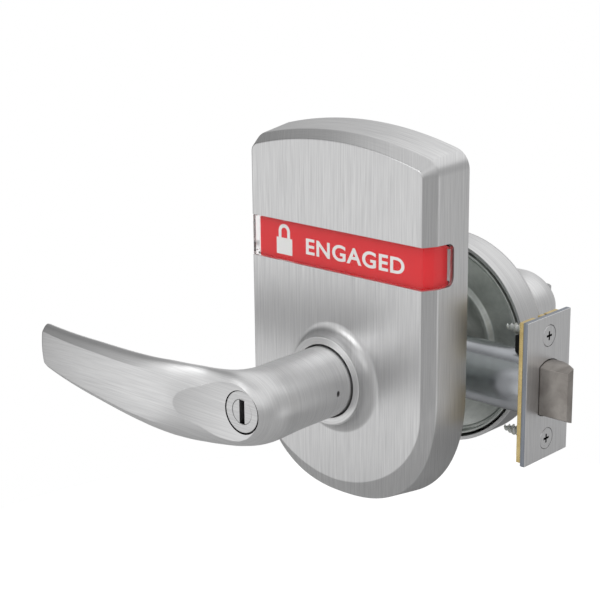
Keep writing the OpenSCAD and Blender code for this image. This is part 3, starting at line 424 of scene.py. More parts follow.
# The latch bolt is sintered steel, a warm grey with smudged wear marks down its flat side.
# Its nose is bevelled on the closing side and its edges are barely broken.
bolt_steel = cloudy_metal("bolt_steel", (0.29, 0.265, 0.245), (0.48, 0.45, 0.42), 0.40, 0.009, 0.0007, 0.10)
bolt_low, bolt_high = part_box("latch_bolt")
latch_r = bolt_high.z
bolt_half_w = 5.8 * mm
bolt_nose_w = 3.6 * mm
backing_back_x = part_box("backing_plate")[0].x
shoulder_x = backing_back_x - 0.3 * mm
bolt = plug(latch_r, bolt_low.x + mm, bolt_high.x, axis="X")
bolt = combine(bolt, block((bolt_low.x, -bolt_half_w, -latch_r - mm),
                           (bolt_high.x + mm, bolt_half_w, latch_r + mm)), "INTERSECT")


def only(kind, parts):
    return [part for part in parts if isinstance(part, kind)]


def prism(corners, length):
    shape = bmesh.new()
    face = shape.faces.new([shape.verts.new(corner) for corner in corners])
    end = bmesh.ops.extrude_face_region(shape, geom=[face])
    bmesh.ops.translate(shape, vec=length, verts=only(bmesh.types.BMVert, end["geom"]))
    bmesh.ops.recalc_face_normals(shape, faces=shape.faces)
    return shape


slope_x = bolt_high.x - 13.3 * mm
nose_y = -bolt_half_w + bolt_nose_w
wedge_corners = ((bolt_high.x, nose_y), (bolt_high.x + 5 * mm, nose_y),
                 (bolt_high.x + 5 * mm, bolt_half_w + mm), (slope_x, bolt_half_w + mm))
wedge = prism([(x, y, -latch_r - mm) for x, y in wedge_corners], (0, 0, 2 * (latch_r + mm)))
bolt = soften(combine(bolt, wedge), 0.25 * mm, 2, 35)
shoulder_bore = 0.5 * mm
shoulder = turned(rounded([(latch_r, bolt_low.x), (latch_r, shoulder_x), (shoulder_bore, shoulder_x),
                           (shoulder_bore, bolt_low.x)], 0.3 * mm), axis="X")
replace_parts(link(bolt, "latch_bolt_nose", bolt_steel, "latch"), "latch_bolt")
link(shoulder, "latch_bolt_shoulder", bolt_steel, "latch")


# The faceplate is satin chrome with a straight grain, and its sheared edges are dark. The
# grain group gives the fine lines that brushing leaves, from how far a point lies across
# them and along them.
grain_group, grain_in, grain_out = new_group(
    "brushed_lines",
    [("Across", "NodeSocketFloat", 0.0), ("Along", "NodeSocketVector", None),
     ("Line width", "NodeSocketFloat", 0.0007), ("Line length", "NodeSocketFloat", 0.03)],
    [("Lines", "NodeSocketFloat"), ("Hairlines", "NodeSocketFloat")])
for share, target, detail in ((1.0, "Lines", 3.0), (0.3, "Hairlines", 2.0)):
    width = maths(grain_group, "MULTIPLY", grain_in.outputs["Line width"], share)
    run = maths(grain_group, "MULTIPLY", grain_in.outputs["Line length"], 0.4 + 0.6 * share)
    run = maths(grain_group, "DIVIDE", 1.0, run)
    along = vectors(grain_group, "SCALE", grain_in.outputs["Along"], run)
    side = maths(grain_group, "DIVIDE", grain_in.outputs["Across"], width)
    across = put(grain_group, "CombineXYZ", {"X": side})
    spot = vectors(grain_group, "ADD", along, across.outputs["Vector"])
    lines = put(grain_group, "TexNoise", {"Vector": spot, "Scale": 1.0, "Detail": detail, "Roughness": 0.6})
    grain_group.links.new(lines.outputs["Fac"], grain_out.inputs[target])


def straight_grain(across, along):
    def grain(tree):
        place = object_place(tree)
        side = vectors(tree, "DOT_PRODUCT", place, across, "Value")
        if along == "X":
            return side, put(tree, "CombineXYZ", {"Y": place_parts(tree)[0]}).outputs[0]
        return side, vectors(tree, "MULTIPLY", place, (0, 0, 1))
    return grain


def round_grain(tree):
    x, y, z = place_parts(tree)
    flat = put(tree, "CombineXYZ", {"Y": x, "Z": z}).outputs[0]
    radius = vectors(tree, "LENGTH", flat, result="Value")
    run = vectors(tree, "SCALE", vectors(tree, "NORMALIZE", flat), 0.02)
    return maths(tree, "MULTIPLY_ADD", y, 1.7, radius), run


def grain_lines(tree, grain, width, length):
    across, along = grain(tree)
    sockets = {"Across": across, "Along": along, "Line width": width, "Line length": length}
    brushing = put(tree, "Group", sockets, node_tree=grain_group)
    half = maths(tree, "MULTIPLY", brushing.outputs["Lines"], 0.5)
    return maths(tree, "MULTIPLY_ADD", brushing.outputs["Hairlines"], 0.5, half)


def brushed(name, grain, dark=(0.60, 0.60, 0.605), light=(0.82, 0.82, 0.82), rough=0.40, width=0.0007,
            length=0.03, second=None):
    finish, tree = new_finish(name)
    value = grain_lines(tree, grain, width, length)
    if second:
        other_grain, where = second
        sockets = {"Factor": where(tree), "A": value, "B": grain_lines(tree, other_grain, width, length)}
        value = put(tree, "Mix", sockets, data_type="FLOAT").outputs["Result"]
    colour = between(tree, rescaled(tree, value, 0.32, 0.68), dark, light)
    roughness = rescaled(tree, value, 0.32, 0.68, rough + 0.06, rough - 0.06)
    metal_surface(tree, colour, roughness, value, 0.10, 0.0001)
    return finish


face_low, face_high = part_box("faceplate")
screw_z = 20.65 * mm
screw_head_r = 4.15 * mm
screw_head_t = 2.7 * mm
screw_r = 1.9 * mm
plate_gap = 0.2 * mm


def paint_faces(piece, finish, chosen):
    piece.data.materials.append(finish)
    for face in piece.data.polygons:
        if chosen(face):
            face.material_index = len(piece.data.materials) - 1


def plate_openings(plate):
    hole_r, head_hole_r = screw_r + plate_gap, screw_head_r + plate_gap
    for z in (-screw_z, screw_z):
        sink = turned([(0, backing_back_x - mm), (hole_r, backing_back_x - mm),
                       (hole_r, face_high.x - screw_head_t), (head_hole_r, face_high.x - 0.3 * mm),
                       (head_hole_r, face_high.x + mm), (0, face_high.x + mm)], axis="X", steps=64,
                       closed=False)
        plate = combine(plate, shifted(sink, (0, 0, z)))
    gap = 0.3 * mm
    mouth = plug(latch_r + gap, backing_back_x - mm, face_high.x + mm, axis="X", steps=96)
    mouth = combine(mouth, block((backing_back_x - 2 * mm, -bolt_half_w - gap, -latch_r - mm),
                                 (face_high.x + 2 * mm, bolt_half_w + gap, latch_r + mm)), "INTERSECT")
    return combine(plate, mouth)


satin_plate = brushed("satin_plate", straight_grain((0.6, 1.0, 0.0), "Z"), dark=(0.66, 0.66, 0.67),
                      light=(0.88, 0.88, 0.88), width=0.0005)
sheared_edge = brushed("sheared_edge", straight_grain((1.0, 0.0, 0.0), "Z"), dark=(0.25, 0.27, 0.31),
                       light=(0.38, 0.41, 0.46), width=0.0004)
faceplate = plate_openings(soften(block(face_low, face_high), 0.35 * mm))
faceplate = link(faceplate, "faceplate_brushed", satin_plate, "root")
edge_y, edge_z = face_high.y - 0.5 * mm, face_high.z - 0.5 * mm
paint_faces(faceplate, sheared_edge, lambda face: abs(face.normal.x) < 0.5
      and (abs(face.center.y) > edge_y or abs(face.center.z) > edge_z))
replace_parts(faceplate, "faceplate")


# Behind it lies a backing plate of yellow plated steel, shorter at the bottom, with notches
# in its top edge where the two plates are staked together.
yellow_plate = cloudy_metal("yellow_plate", (0.56, 0.42, 0.17), (0.78, 0.62, 0.30), 0.30, 0.01, 0.0006, 0.06)
backing_low, backing_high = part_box("backing_plate")
backing = soften(block(backing_low, backing_high), 0.15 * mm, 2)
width = backing_high.y - backing_low.y
notch = 1.1 * mm
for start, end in ((0.29, 0.42), (0.51, 0.56), (0.83, 1.1)):
    notch_low = (backing_low.x - mm, backing_low.y + start * width, backing_high.z - notch)
    notch_high = (backing_high.x + mm, backing_low.y + end * width, backing_high.z + mm)
    backing = combine(backing, block(notch_low, notch_high))
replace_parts(link(plate_openings(backing), "backing_plate_plated", yellow_plate, "root"),
            "backing_plate")


# Two flat-headed screws hold the faceplate. Each has a cross recess and a coarse thread that
# winds down to a pointed tip.
# The cross recesses take a near black finish: painted shade for the depth of the recess.
painted_recess_shade = cloudy_metal("painted_recess_shade", (0.03, 0.03, 0.032), (0.07, 0.07, 0.07), 0.5, 0.01, 0.0006)
cross_depth = 1.6 * mm
cross_half_l = 2.1 * mm
cross_half_w = 0.52 * mm
thread_pitch = 1.9 * mm
thread_depth = 0.75 * mm
thread_turns = 7
thread_steps = 24 * thread_turns
screw_tip_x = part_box("face_screw_upper")[0].x + 2 * mm
core_r = screw_r - 0.5 * mm
head_x = face_high.x - screw_head_t


def in_recess(place, z):
    depth, off_axis = face_high.x - place.x, max(abs(place.y), abs(place.z - z))
    return 0.1 * mm < depth < cross_depth + 0.1 * mm and off_axis < cross_half_l + 0.1 * mm


for z, node, name in ((screw_z, "face_screw_upper", "plate_screw_upper"),
                      (-screw_z, "face_screw_lower", "plate_screw_lower")):
    profile = [(0, screw_tip_x), (core_r * 0.7, screw_tip_x + 2.5 * mm), (core_r, screw_tip_x + 6 * mm),
               (core_r, head_x - 4 * mm), (screw_r, head_x - 3.4 * mm), (screw_r, head_x),
               (screw_head_r, face_high.x - 0.3 * mm),
               (screw_head_r - 0.2 * mm, face_high.x), (0, face_high.x)]
    screw = turned(profile, axis="X", steps=64, closed=False)
    for across, length in ((cross_half_w, cross_half_l), (cross_half_l, cross_half_w)):
        recess = block((face_high.x - cross_depth, -across, -length), (face_high.x + mm, across, length))
        for v in recess.verts:
            if v.co.x < face_high.x - cross_depth / 2:
                v.co.y *= 0.6
                v.co.z *= 0.6
        screw = combine(screw, recess)
    thread = bmesh.new()
    start_x = screw_tip_x + 0.8 * mm
    root_r = core_r - 0.3 * mm
    crest = [thread.verts.new((start_x + dx * mm, 0, r)) for dx, r in
             ((-0.45, root_r), (0, core_r + thread_depth), (0.45, root_r))]
    bmesh.ops.spin(thread, geom=crest + join_up(thread, crest), cent=(0, 0, 0), axis=(1, 0, 0),
                   dvec=(thread_turns * thread_pitch / thread_steps, 0, 0), angle=2 * math.pi * thread_turns,
                   steps=thread_steps, use_merge=False, use_duplicate=False)
    for v in thread.verts:
        taper = min(1.0, 0.45 + (v.co.x - screw_tip_x) / (9 * mm))
        v.co.y *= taper
        v.co.z *= taper
    bmesh.ops.holes_fill(thread, edges=thread.edges, sides=4)
    bmesh.ops.recalc_face_normals(thread, faces=thread.faces)
    for part, label in ((screw, name), (thread, name + "_thread")):
        piece = link(shifted(part, (0, 0, z)), label, satin_plate if part is screw else zinc_plate, "root")
        if label == name:
            paint_faces(piece, painted_recess_shade, lambda face: in_recess(face.center, z))
            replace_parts(piece, node)


# The inside rose is a spun cup of satin chrome with a straight rim, a domed face and a raised
# boss. The turned pieces carry a round grain, as polishing on a lathe leaves it.
rose_stand = 26.9 * mm
door_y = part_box("rose_in")[1].y - rose_stand
satin_round = brushed("satin_round", round_grain, width=0.0006, length=0.02)
collar_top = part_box("collar_in")[1].y
cover_y = door_y + 21.35 * mm
collar_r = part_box("collar_in")[1].x
neck_r = 14 * mm
boss_r = 22.5 * mm
boss_top = collar_top - 0.6 * mm
rose_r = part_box("rose_in")[1].x
rose_wall = 1.6 * mm


def boss_curve(steps=16):
    top_r = collar_r + 0.2 * mm
    return [(boss_r - (boss_r - top_r) * math.sin(a), boss_top - (boss_top - cover_y) * math.cos(a))
            for a in [math.pi / 2 * i / steps for i in range(1, steps + 1)]]


def quarter(centre, reach, steps, start=0.0, stop=90.0):
    angles = [math.radians(start + (stop - start) * i / steps) for i in range(steps + 1)]
    return [(centre[0] + reach[0] * math.cos(a), centre[1] + reach[1] * math.sin(a)) for a in angles]


rim_y = door_y + 14.16 * mm
rim_round = 1.2 * mm
dome = quarter((boss_r, rim_y), (rose_r - rim_round - boss_r, cover_y - rim_y), 28)
inner_dome = [(r - 0.6 * rose_wall, y - rose_wall) for r, y in dome[:-1:3]]
bore_r = collar_r + 0.05 * mm
skirt = rounded([(rose_r - rose_wall, rim_y - rim_round), (rose_r - rose_wall, door_y), (rose_r, door_y),
                 (rose_r, rim_y - rim_round)], 0.35 * mm)[1:]
skirt += quarter((rose_r - rim_round, rim_y - rim_round), (rim_round, rim_round), 6)[1:-1]
throat = [(bore_r, boss_top), (bore_r, cover_y - rose_wall)]
rose_profile = skirt + dome + boss_curve() + throat + inner_dome[::-1]
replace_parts(link(turned(rose_profile, side=1), "rose_in_spun", satin_round, "root"),
            "rose_in")


# Behind the rose, against the door, lies the inside mounting plate: a zinc-plated pressing with
# a raised bead, a groove and a lip at its rim, and holes for the two through bolts.
floor_y = door_y + 6 * mm
plate_face_y = door_y + 2.2 * mm
sheet = 1.8 * mm
hole_r = 11.51 * mm
bead_r = 25.5 * mm
lip_r = rose_r - rose_wall - 1.1 * mm
groove_y = plate_face_y + 1.2 * mm
plate_profile = [(hole_r, floor_y - sheet), (bead_r - 2 * mm, floor_y - sheet), (bead_r - 0.9 * mm, door_y),
                 (bead_r + 0.9 * mm, door_y), (bead_r + 2.1 * mm, plate_face_y),
                 (lip_r - 2.6 * mm, plate_face_y), (lip_r - 2.5 * mm, groove_y),
                 (lip_r - 1.1 * mm, groove_y), (lip_r - mm, door_y), (lip_r, door_y),
                 (lip_r, plate_face_y + sheet), (bead_r + 1.3 * mm, plate_face_y + sheet),
                 (bead_r + 0.3 * mm, door_y + sheet), (bead_r - 0.3 * mm, door_y + sheet),
                 (bead_r - 1.4 * mm, floor_y), (hole_r, floor_y)]
plate = turned(rounded(plate_profile, 0.5 * mm), side=1)
bolt_z = 34.925 * mm
bolt_hole_r = 2.55 * mm
for z in (-bolt_z, bolt_z):
    hole = plug(bolt_hole_r, door_y - 3 * mm, floor_y + 3 * mm, side=1, steps=48)
    plate = combine(plate, shifted(hole, (0, 0, z)))
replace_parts(link(plate, "mount_plate_in_pressed", zinc_plate, "root"), "mount_plate_in")
tab_end_r = rose_r - rose_wall - 0.1 * mm
for i, degrees in enumerate((30, 120, 210, 300)):
    tab = block((lip_r - 0.5 * mm, plate_face_y, -4 * mm), (tab_end_r, plate_face_y + sheet, 4 * mm))
    soften(tab, 0.2 * mm, 2)
    bmesh.ops.rotate(tab, cent=(0, 0, 0), matrix=Matrix.Rotation(math.radians(degrees), 3, "Y"),
                     verts=tab.verts)
    link(tab, f"mount_plate_tab_{i + 1}", zinc_plate, "root")


# Each neck passes through a collar ring, turned from solid and pressed into the boss. A dark
# running gap is left round the neck.
satin_collar = brushed("satin_collar", round_grain, dark=(0.74, 0.74, 0.74), light=(0.92, 0.92, 0.92),
                       width=0.0006, length=0.02)
collar_bore = neck_r + 0.6 * mm
collar_low = cover_y - 2.6 * mm
collar_profile = rounded(band(collar_bore, collar_r, collar_low, collar_top), 0.4 * mm, 5)
for side, node in ((-1, "collar_out"), (1, "collar_in")):
    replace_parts(link(turned(collar_profile, side=side), node + "_ring", satin_collar, "root"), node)


# The outside cover is a deep drawn shell of satin chrome with an arched top, a rounded bottom and
# a bevel all round. Its front and sides are brushed up and down.
def outline(half_w, top, bottom, start, power, corner, arc):
    arc_z, corner_x = top - arc, half_w - corner
    corner_z = arc_z + math.sqrt((arc - corner) ** 2 - corner_x ** 2)
    join = math.degrees(math.atan2(corner_z - arc_z, corner_x))
    points = quarter((corner_x, corner_z), (corner, corner), 12, 0, join)
    points += quarter((0, arc_z), (arc, arc), 30, join, 180 - join)[1:-1]
    points += quarter((-corner_x, corner_z), (corner, corner), 12, 180 - join, 180)
    for i in range(97):
        a = math.pi * (1 - i / 96)
        side = math.copysign(abs(math.cos(a)) ** (2 / power), math.cos(a))
        points.append((half_w * side, start - (start + bottom) * math.sin(a) ** (2 / power)))
    return [(x * mm, z * mm) for x, z in points]


def at_level(edge, y):
    return all(abs(v.co.y + y) < 1e-6 for v in edge.verts)


def close_form(shape, rings):
    for low, high in zip(rings, rings[1:]):
        bmesh.ops.bridge_loops(shape, edges=low + high)
    bmesh.ops.holes_fill(shape, edges=shape.edges, sides=0)
    bmesh.ops.recalc_face_normals(shape, faces=shape.faces)
    return shape


cover_half_w = (47.625, 45.625, 42.525)


def cover_form(lean, *levels):
    back_w, bevel_w, front_w = cover_half_w
    front_lean = 0.6 * lean
    forms = ((back_w - lean, 98.2 - lean, 52.3 - lean, 0.6, 2.4, 8, 160),
             (bevel_w - lean, 96.2 - lean, 50.3 - lean, 0.6, 2.4, 7, 160),
             (front_w - front_lean, 93.1 - front_lean, 42.9 - front_lean, -7.8, 1.92, 3.5 - 0.3 * lean, 144))
    shape = bmesh.new()
    for y, sizes in zip(levels, forms):
        join_up(shape, [shape.verts.new((x, -y, z)) for x, z in outline(*sizes)])
    bmesh.ops.remove_doubles(shape, verts=shape.verts, dist=5e-6)
    return close_form(shape, [[e for e in shape.edges if at_level(e, y)] for y in levels])


bevel_y = cover_y - 5.8 * mm
wall = 2 * mm
cover = cover_form(0, door_y, bevel_y, cover_y)
bevel_edges(cover, [e for e in cover.edges if e.calc_face_angle(0) > math.radians(12)
                    and (at_level(e, bevel_y) or at_level(e, cover_y))], 0.5 * mm, 4)
cover = combine(cover, cover_form(2, door_y - mm, bevel_y - 0.5 * mm, cover_y - wall))
boss_foot_r = boss_r + 0.5 * mm
boss_foot = [(collar_r - mm, cover_y - wall), (boss_foot_r, cover_y - wall),
             (boss_foot_r, cover_y - 0.02 * mm), (boss_r, cover_y)]
boss = turned(boss_foot + boss_curve() + [(collar_r - mm, boss_top)])
cover = combine(cover, boss, "UNION")
cover = combine(cover, plug(bore_r, cover_y - 2 * wall, collar_top + mm))
window_low, window_high, window_end, window_r = 42.45 * mm, 58.75 * mm, door_y + 7.3 * mm, 3 * mm
half_x = 52 * mm


def window_block(grow, end_grow=None):
    low, high = window_low - grow, window_high + grow
    end = window_end - (grow if end_grow is None else end_grow)
    side = [(-(cover_y + 5 * mm), low), (-(cover_y + 5 * mm), high)]
    side += quarter((-end - window_r, high - window_r), (window_r, window_r), 8)[::-1]
    side += quarter((-end - window_r, low + window_r), (window_r, window_r), 8, -90, 0)[::-1]
    return prism([(-half_x, y, z) for y, z in side], (2 * half_x, 0, 0))


cover = combine(cover, window_block(0))
near = 1e-5
side_x, skin = 44 * mm, 1.2 * mm


def outer_window_edge(edge):
    places = [v.co for v in edge.verts]
    in_window = all(window_low - near < p.z < window_high + near and p.y < near - window_end for p in places)
    on_skin = max(abs(p.x) for p in places) > side_x or max(abs(p.y) for p in places) > cover_y - skin
    clear_of_end = min(abs(p.y) for p in places) > window_end - near
    return edge.calc_face_angle(0) > math.radians(50) and in_window and on_skin and clear_of_end


bevel_edges(cover, [e for e in cover.edges if outer_window_edge(e)], 0.22 * mm, 2)


def facing_up(tree):
    normal = put(tree, "TexCoord").outputs["Normal"]
    up_share = maths(tree, "ABSOLUTE", put(tree, "SeparateXYZ", {0: normal}).outputs["Z"])
    return rescaled(tree, up_share, 0.84, 0.90)


satin_cover = brushed("satin_cover", straight_grain((1.0, 0.83, 0.0), "Z"), rough=0.34,
                      second=(straight_grain((0.0, 1.0, 0.0), "X"), facing_up))
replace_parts(link(cover, "cover_drawn", satin_cover, "root", sharp=28), "cover")
post_r, post_bore, post_low, post_high = 3.2 * mm, 1.6 * mm, door_y + 2.5 * mm, cover_y - 0.5 * wall
for i, (x, z) in enumerate(((-30.0, 82.45), (30.0, 82.45), (-30.0, -24.0), (30.0, -24.0))):
    post = turned(band(post_bore, post_r, post_low, post_high), steps=32)
    link(shifted(post, (x * mm, 0, z * mm)), f"cover_post_{i + 1}", plain_steel, "root")


# The indicator flag is a strip of white plastic bent round three sides of the cover, with a red
# band on its upper half. A rack on its back lifts it when the bar turns.
white_plastic = moulded("white_plastic", (0.78, 0.78, 0.77), 0.42)
acetal = moulded("acetal", (0.74, 0.70, 0.60), 0.4)
red_film = moulded("red_film", (0.70, 0.018, 0.024), 0.45, 0.1)
give(white_plastic, "flag_carrier", "flag_rack")
give(acetal, "pinion")
give(red_film, "engaged_label")
label_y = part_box("engaged_label")[0].y


def flat_mark(name, shape):
    bmesh.ops.remove_doubles(shape, verts=shape.verts, dist=1e-6)
    bmesh.ops.recalc_face_normals(shape, faces=shape.faces)
    return link(shape, name, white_plastic, "flag", weighted=False)


padlock_x, padlock_low, padlock_high = -27.85 * mm, 44.2 * mm, 50.9 * mm
padlock_half_w = 4.15 * mm
mark_front, mark_back = label_y - 0.04 * mm, label_y + 0.02 * mm
padlock = block((padlock_x - padlock_half_w, mark_front, padlock_low),
                (padlock_x + padlock_half_w, mark_back, padlock_high))
flat_mark("padlock_body", soften(padlock, 0.02 * mm, 1))
shackle_z = 53.6 * mm
shackle_inner, shackle_outer = padlock_x + 1.55 * mm, padlock_x + 3.0 * mm
shackle_sink = 0.1 * mm
shackle_rise = shackle_z - padlock_high
shackle = bmesh.new()
section = [shackle.verts.new((x, y, padlock_high - shackle_sink)) for x, y in
           ((shackle_inner, mark_front), (shackle_outer, mark_front), (shackle_outer, mark_back),
            (shackle_inner, mark_back))]
leg = bmesh.ops.extrude_edge_only(shackle, edges=join_up(shackle, section))["geom"]
top = only(bmesh.types.BMVert, leg)
top_edges = [e for e in only(bmesh.types.BMEdge, leg) if all(v in top for v in e.verts)]
bmesh.ops.translate(shackle, vec=(0, 0, shackle_rise), verts=top)
arch = bmesh.ops.spin(shackle, geom=top + top_edges, cent=(padlock_x, 0, shackle_z - shackle_sink),
                      axis=(0, 1, 0), dvec=(0, 0, 0), angle=-math.pi, steps=20, use_merge=False,
                      use_duplicate=False)
foot = bmesh.ops.extrude_edge_only(shackle, edges=only(bmesh.types.BMEdge, arch["geom_last"]))
bmesh.ops.translate(shackle, vec=(0, 0, -shackle_rise), verts=only(bmesh.types.BMVert, foot["geom"]))
flat_mark("padlock_shackle", shackle)
word = bpy.data.curves.new("word", "FONT")
word.body = "ENGAGED"
word.size = 9.6
word.offset = 0.22
word.extrude = 0.03
word.space_character = 1.08
word_object = bpy.data.objects.new("word", word)
bpy.context.scene.collection.objects.link(word_object)
bpy.context.view_layer.update()
word_shape = word_object.evaluated_get(bpy.context.evaluated_depsgraph_get())
letters = bmesh.new()
letters.from_mesh(bpy.data.meshes.new_from_object(word_shape))
bpy.data.objects.remove(word_object)
left_x, right_x, low_z, word_h = -16.5, 32.4, 46.2, 6.5
lows = [min(v.co[i] for v in letters.verts) for i in range(2)]
highs = [max(v.co[i] for v in letters.verts) for i in range(2)]
for v in letters.verts:
    x = left_x + (v.co.x - lows[0]) * (right_x - left_x) / (highs[0] - lows[0])
    z = low_z + (v.co.y - lows[1]) * word_h / (highs[1] - lows[1])
    v.co = Vector((x * mm, label_y + (-0.01 - v.co.z) * mm, z * mm))
flat_mark("engaged_word", letters)


# A clear moulded lens fills the window and wraps round both sides of the cover. Its flange lies
# behind the cover's wall, its ends are frosted, and the flag slides past it.
def section_path(inset):
    corners = list(zip(cover_half_w, (22.225, 37.775, 43.575)))
    path = []
    for i, (x, y) in enumerate(corners):
        before = corners[max(i - 1, 0)]
        after = corners[min(i + 1, 2)] if i < 2 else (-x, y)
        turns = []
        for a, b in ((before, (x, y)), ((x, y), after)):
            step = Vector((b[0] - a[0], b[1] - a[1]))
            if step.length > 0:
                turns.append(Vector((step.y, -step.x)).normalized())
        outward = sum(turns, Vector((0, 0)))
        outward = outward / outward.length_squared * (outward.length if len(turns) == 1 else 2)
        path.append(Vector((x, y)) - outward * inset)
    return [(p.x * mm, -p.y * mm) for p in path] + [(-p.x * mm, -p.y * mm) for p in path[::-1]]


def bent_strip(outer, inner, low, high, grow, end_grow=None):
    profile = section_path(outer) + section_path(inner)[::-1]
    strip = prism([(x, y, low) for x, y in profile], (0, 0, high - low))
    return combine(strip, window_block(grow, end_grow), "INTERSECT")


clear, tree = new_finish("clear_lens")
plating = plating_in(tree, 0.012, 0.004)
relief = put(tree, "Bump", {"Height": plating.outputs["Fine"], "Strength": 0.02, "Distance": 0.0002})
roughness = rescaled(tree, plating.outputs["Clouds"], 0.0, 1.0, 0.01, 0.03)
glass = put(tree, "BsdfPrincipled", {"Base Color": (0.98, 0.98, 0.98, 1), "Roughness": roughness,
                                     "IOR": 1.12, "Transmission Weight": 1.0, "Coat Weight": 0.3,
                                     "Coat Roughness": 0.08, "Normal": relief.outputs[0]})
ray = put(tree, "LightPath")
open_air = put(tree, "BsdfTransparent", {"Color": (0.96, 0.96, 0.96, 1)})
shaded = put(tree, "MixShader", {0: ray.outputs["Is Shadow Ray"], 1: glass.outputs[0],
                                 2: open_air.outputs[0]})
# Seen in the metal from farther off, the lens shows as flat grey, a painted reflection that keeps its red out
# of the metal.
mirror_reach = 0.012
in_mirror = maths(tree, "SUBTRACT", ray.outputs["Is Glossy Ray"], ray.outputs["Is Transmission Ray"],
                  clamp=True)
far_off = maths(tree, "GREATER_THAN", ray.outputs["Ray Length"], mirror_reach)
reflected_grey_share = maths(tree, "MULTIPLY", in_mirror, far_off)
grey_in_reflections = put(tree, "BsdfDiffuse", {"Color": (0.55, 0.55, 0.55, 1)})
pane_look = put(tree, "MixShader", {0: reflected_grey_share, 1: shaded.outputs[0], 2: grey_in_reflections.outputs[0]})
put(tree, "OutputMaterial", {"Surface": pane_look.outputs[0]})
lens_gap = 0.25 * mm
step_back = 1.7 * mm
flange_w = 1.8 * mm
pane_skin, flange_skin, pane_back = 0.2, 2.05, 2.6
pane = bent_strip(pane_skin, pane_back, window_low + lens_gap, window_high - lens_gap, -lens_gap, -step_back)
flange = bent_strip(flange_skin, pane_back, window_low - flange_w, window_high + flange_w, flange_w)
pane = combine(pane, flange, "UNION")
bevel_edges(pane, [e for e in pane.edges if e.calc_face_angle(0) > math.radians(50)], 0.12 * mm, 2)
lens = link(pane, "lens_moulded", clear, "root", sharp=20)
end_reach = window_end + step_back + 0.3 * mm
paint_faces(lens, moulded("frosted_end", (0.42, 0.42, 0.42), 0.5), lambda face: face.normal.y > 0.9
      and abs(face.center.y) < end_reach and abs(face.center.x) > side_x)
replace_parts(lens, "lens")


# Each lever is one casting: a round neck that sweeps through an elbow, fuller below, into a
# bowed arm with a chamfer along both edges of its face. The dish, the ring seat and the
# catch hole are cut afterwards.
lever_len = -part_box("lever_out")[0].x
arm_y = door_y + 77.3 * mm
button_y = door_y + 73.3 * mm
neck_start = collar_top - 3 * mm
elbow_s, elbow_d, elbow_r = 28 * mm, door_y + 55.8 * mm, 14 * mm
dome_d, dome_top = door_y + 61.8 * mm, door_y + 77.0 * mm
neck_end_d = elbow_d - 8 * mm
arm_root_s = 34 * mm
bow_s, bow = 45 * mm, 530 * mm
arm_back_t, arm_front_t, arm_front_gain = 7.0 * mm, 4.0 * mm, 1.0 * mm
arm_half_h, arm_gain, arm_taper = 14.5, 0.3, 5.3
blend_s = (28 * mm, 50 * mm)
sag_depth, belly_depth = 1.0 * mm, 1.2 * mm
tip_r = 3.2 * mm
crease = 0.72
face_fall, crease_face, bevel_lean = 0.18, 0.82, 0.74


def smooth(value, low, high):
    u = min(1, max(0, (value - low) / (high - low)))
    return u * u * (3 - 2 * u)


def arm_middle(s):
    return arm_y - (s - bow_s) ** 2 / bow


def arm_share(s):
    return min(1, max(0, (s - arm_root_s) / (lever_len - arm_root_s)))


def tip_cut(s):
    return tip_r - math.sqrt(max(0, tip_r ** 2 - max(0, s - lever_len + tip_r) ** 2))


def arm_front(s):
    depth = (arm_front_t + arm_front_gain * smooth(s, 26 * mm, 60 * mm)) * (1 - arm_share(s) / 3)
    knuckle = smooth(s, 14 * mm, 34 * mm)
    return (1 - knuckle) * dome_top + knuckle * (arm_middle(s) + depth) - 0.6 * tip_cut(s)


def arm_back(s):
    return arm_middle(s) - arm_back_t * (1 - arm_share(s) / 3) + 0.6 * tip_cut(s)


def arm_height(s):
    return (arm_half_h + arm_gain * smooth(s, *blend_s) - arm_taper * arm_share(s)) * mm - tip_cut(s)


def in_hub(s, d):
    if s >= 0:
        return d < arm_front(s)
    return (s / neck_r) ** 2 + (max(0, d - dome_d) / (dome_top - dome_d)) ** 2 < 1


def lever_rings():
    rings = [((neck_r, d), (-neck_r, d), neck_r, 0.5, 0.0, 0.0) for d in
             (neck_start, neck_start + 0.4 * mm, neck_start + 14 * mm, neck_end_d)]
    elbow, turns = Vector((elbow_s, elbow_d)), 24
    for i in range(turns + 1):
        turn = math.radians(90 * i / turns)
        way = Vector((-math.cos(turn), math.sin(turn)))
        inside, outside = elbow_r, 60 * mm
        for step in range(40):
            middle = (inside + outside) / 2
            inside, outside = (middle, outside) if in_hub(*(elbow + way * middle)) else (inside, middle)
        inner, outer = elbow + way * elbow_r, elbow + way * inside
        height = neck_r + (arm_height(elbow_s) - neck_r) * smooth(i, 0, turns)
        rings.append((inner, outer, height, 0.5, smooth(outer.x, *blend_s), smooth(i, 0, 10)))
    tip_s = lever_len - tip_r
    stations = [elbow_s + (tip_s - elbow_s) * i / 36 for i in range(1, 37)]
    stations += [tip_s + tip_r * math.sin(math.radians(a)) for a in (15, 30, 45, 60, 72, 82, 88)]
    for s in stations:
        back_d, front_d = arm_back(s), arm_front(s)
        widest = 0.5 + ((arm_middle(s) - back_d) / (front_d - back_d) - 0.5) * smooth(s, 28 * mm, 46 * mm)
        peaked = 1 - smooth(s, 28 * mm, 60 * mm)
        rings.append(((s, back_d), (s, front_d), arm_height(s), widest, smooth(s, *blend_s), peaked))
    return rings


def sag(s, d):
    reach = smooth(s, 0, 18 * mm) * (1 - smooth(s, 40 * mm, 80 * mm))
    return sag_depth * reach * smooth(d, neck_end_d, elbow_d + 16 * mm)


def belly(s, d, z):
    reach = smooth(s, -16 * mm, 0) * (1 - smooth(s, 20 * mm, 50 * mm))
    return belly_depth * max(0, -z / neck_r) * reach * smooth(d, neck_end_d, elbow_d + 8 * mm)


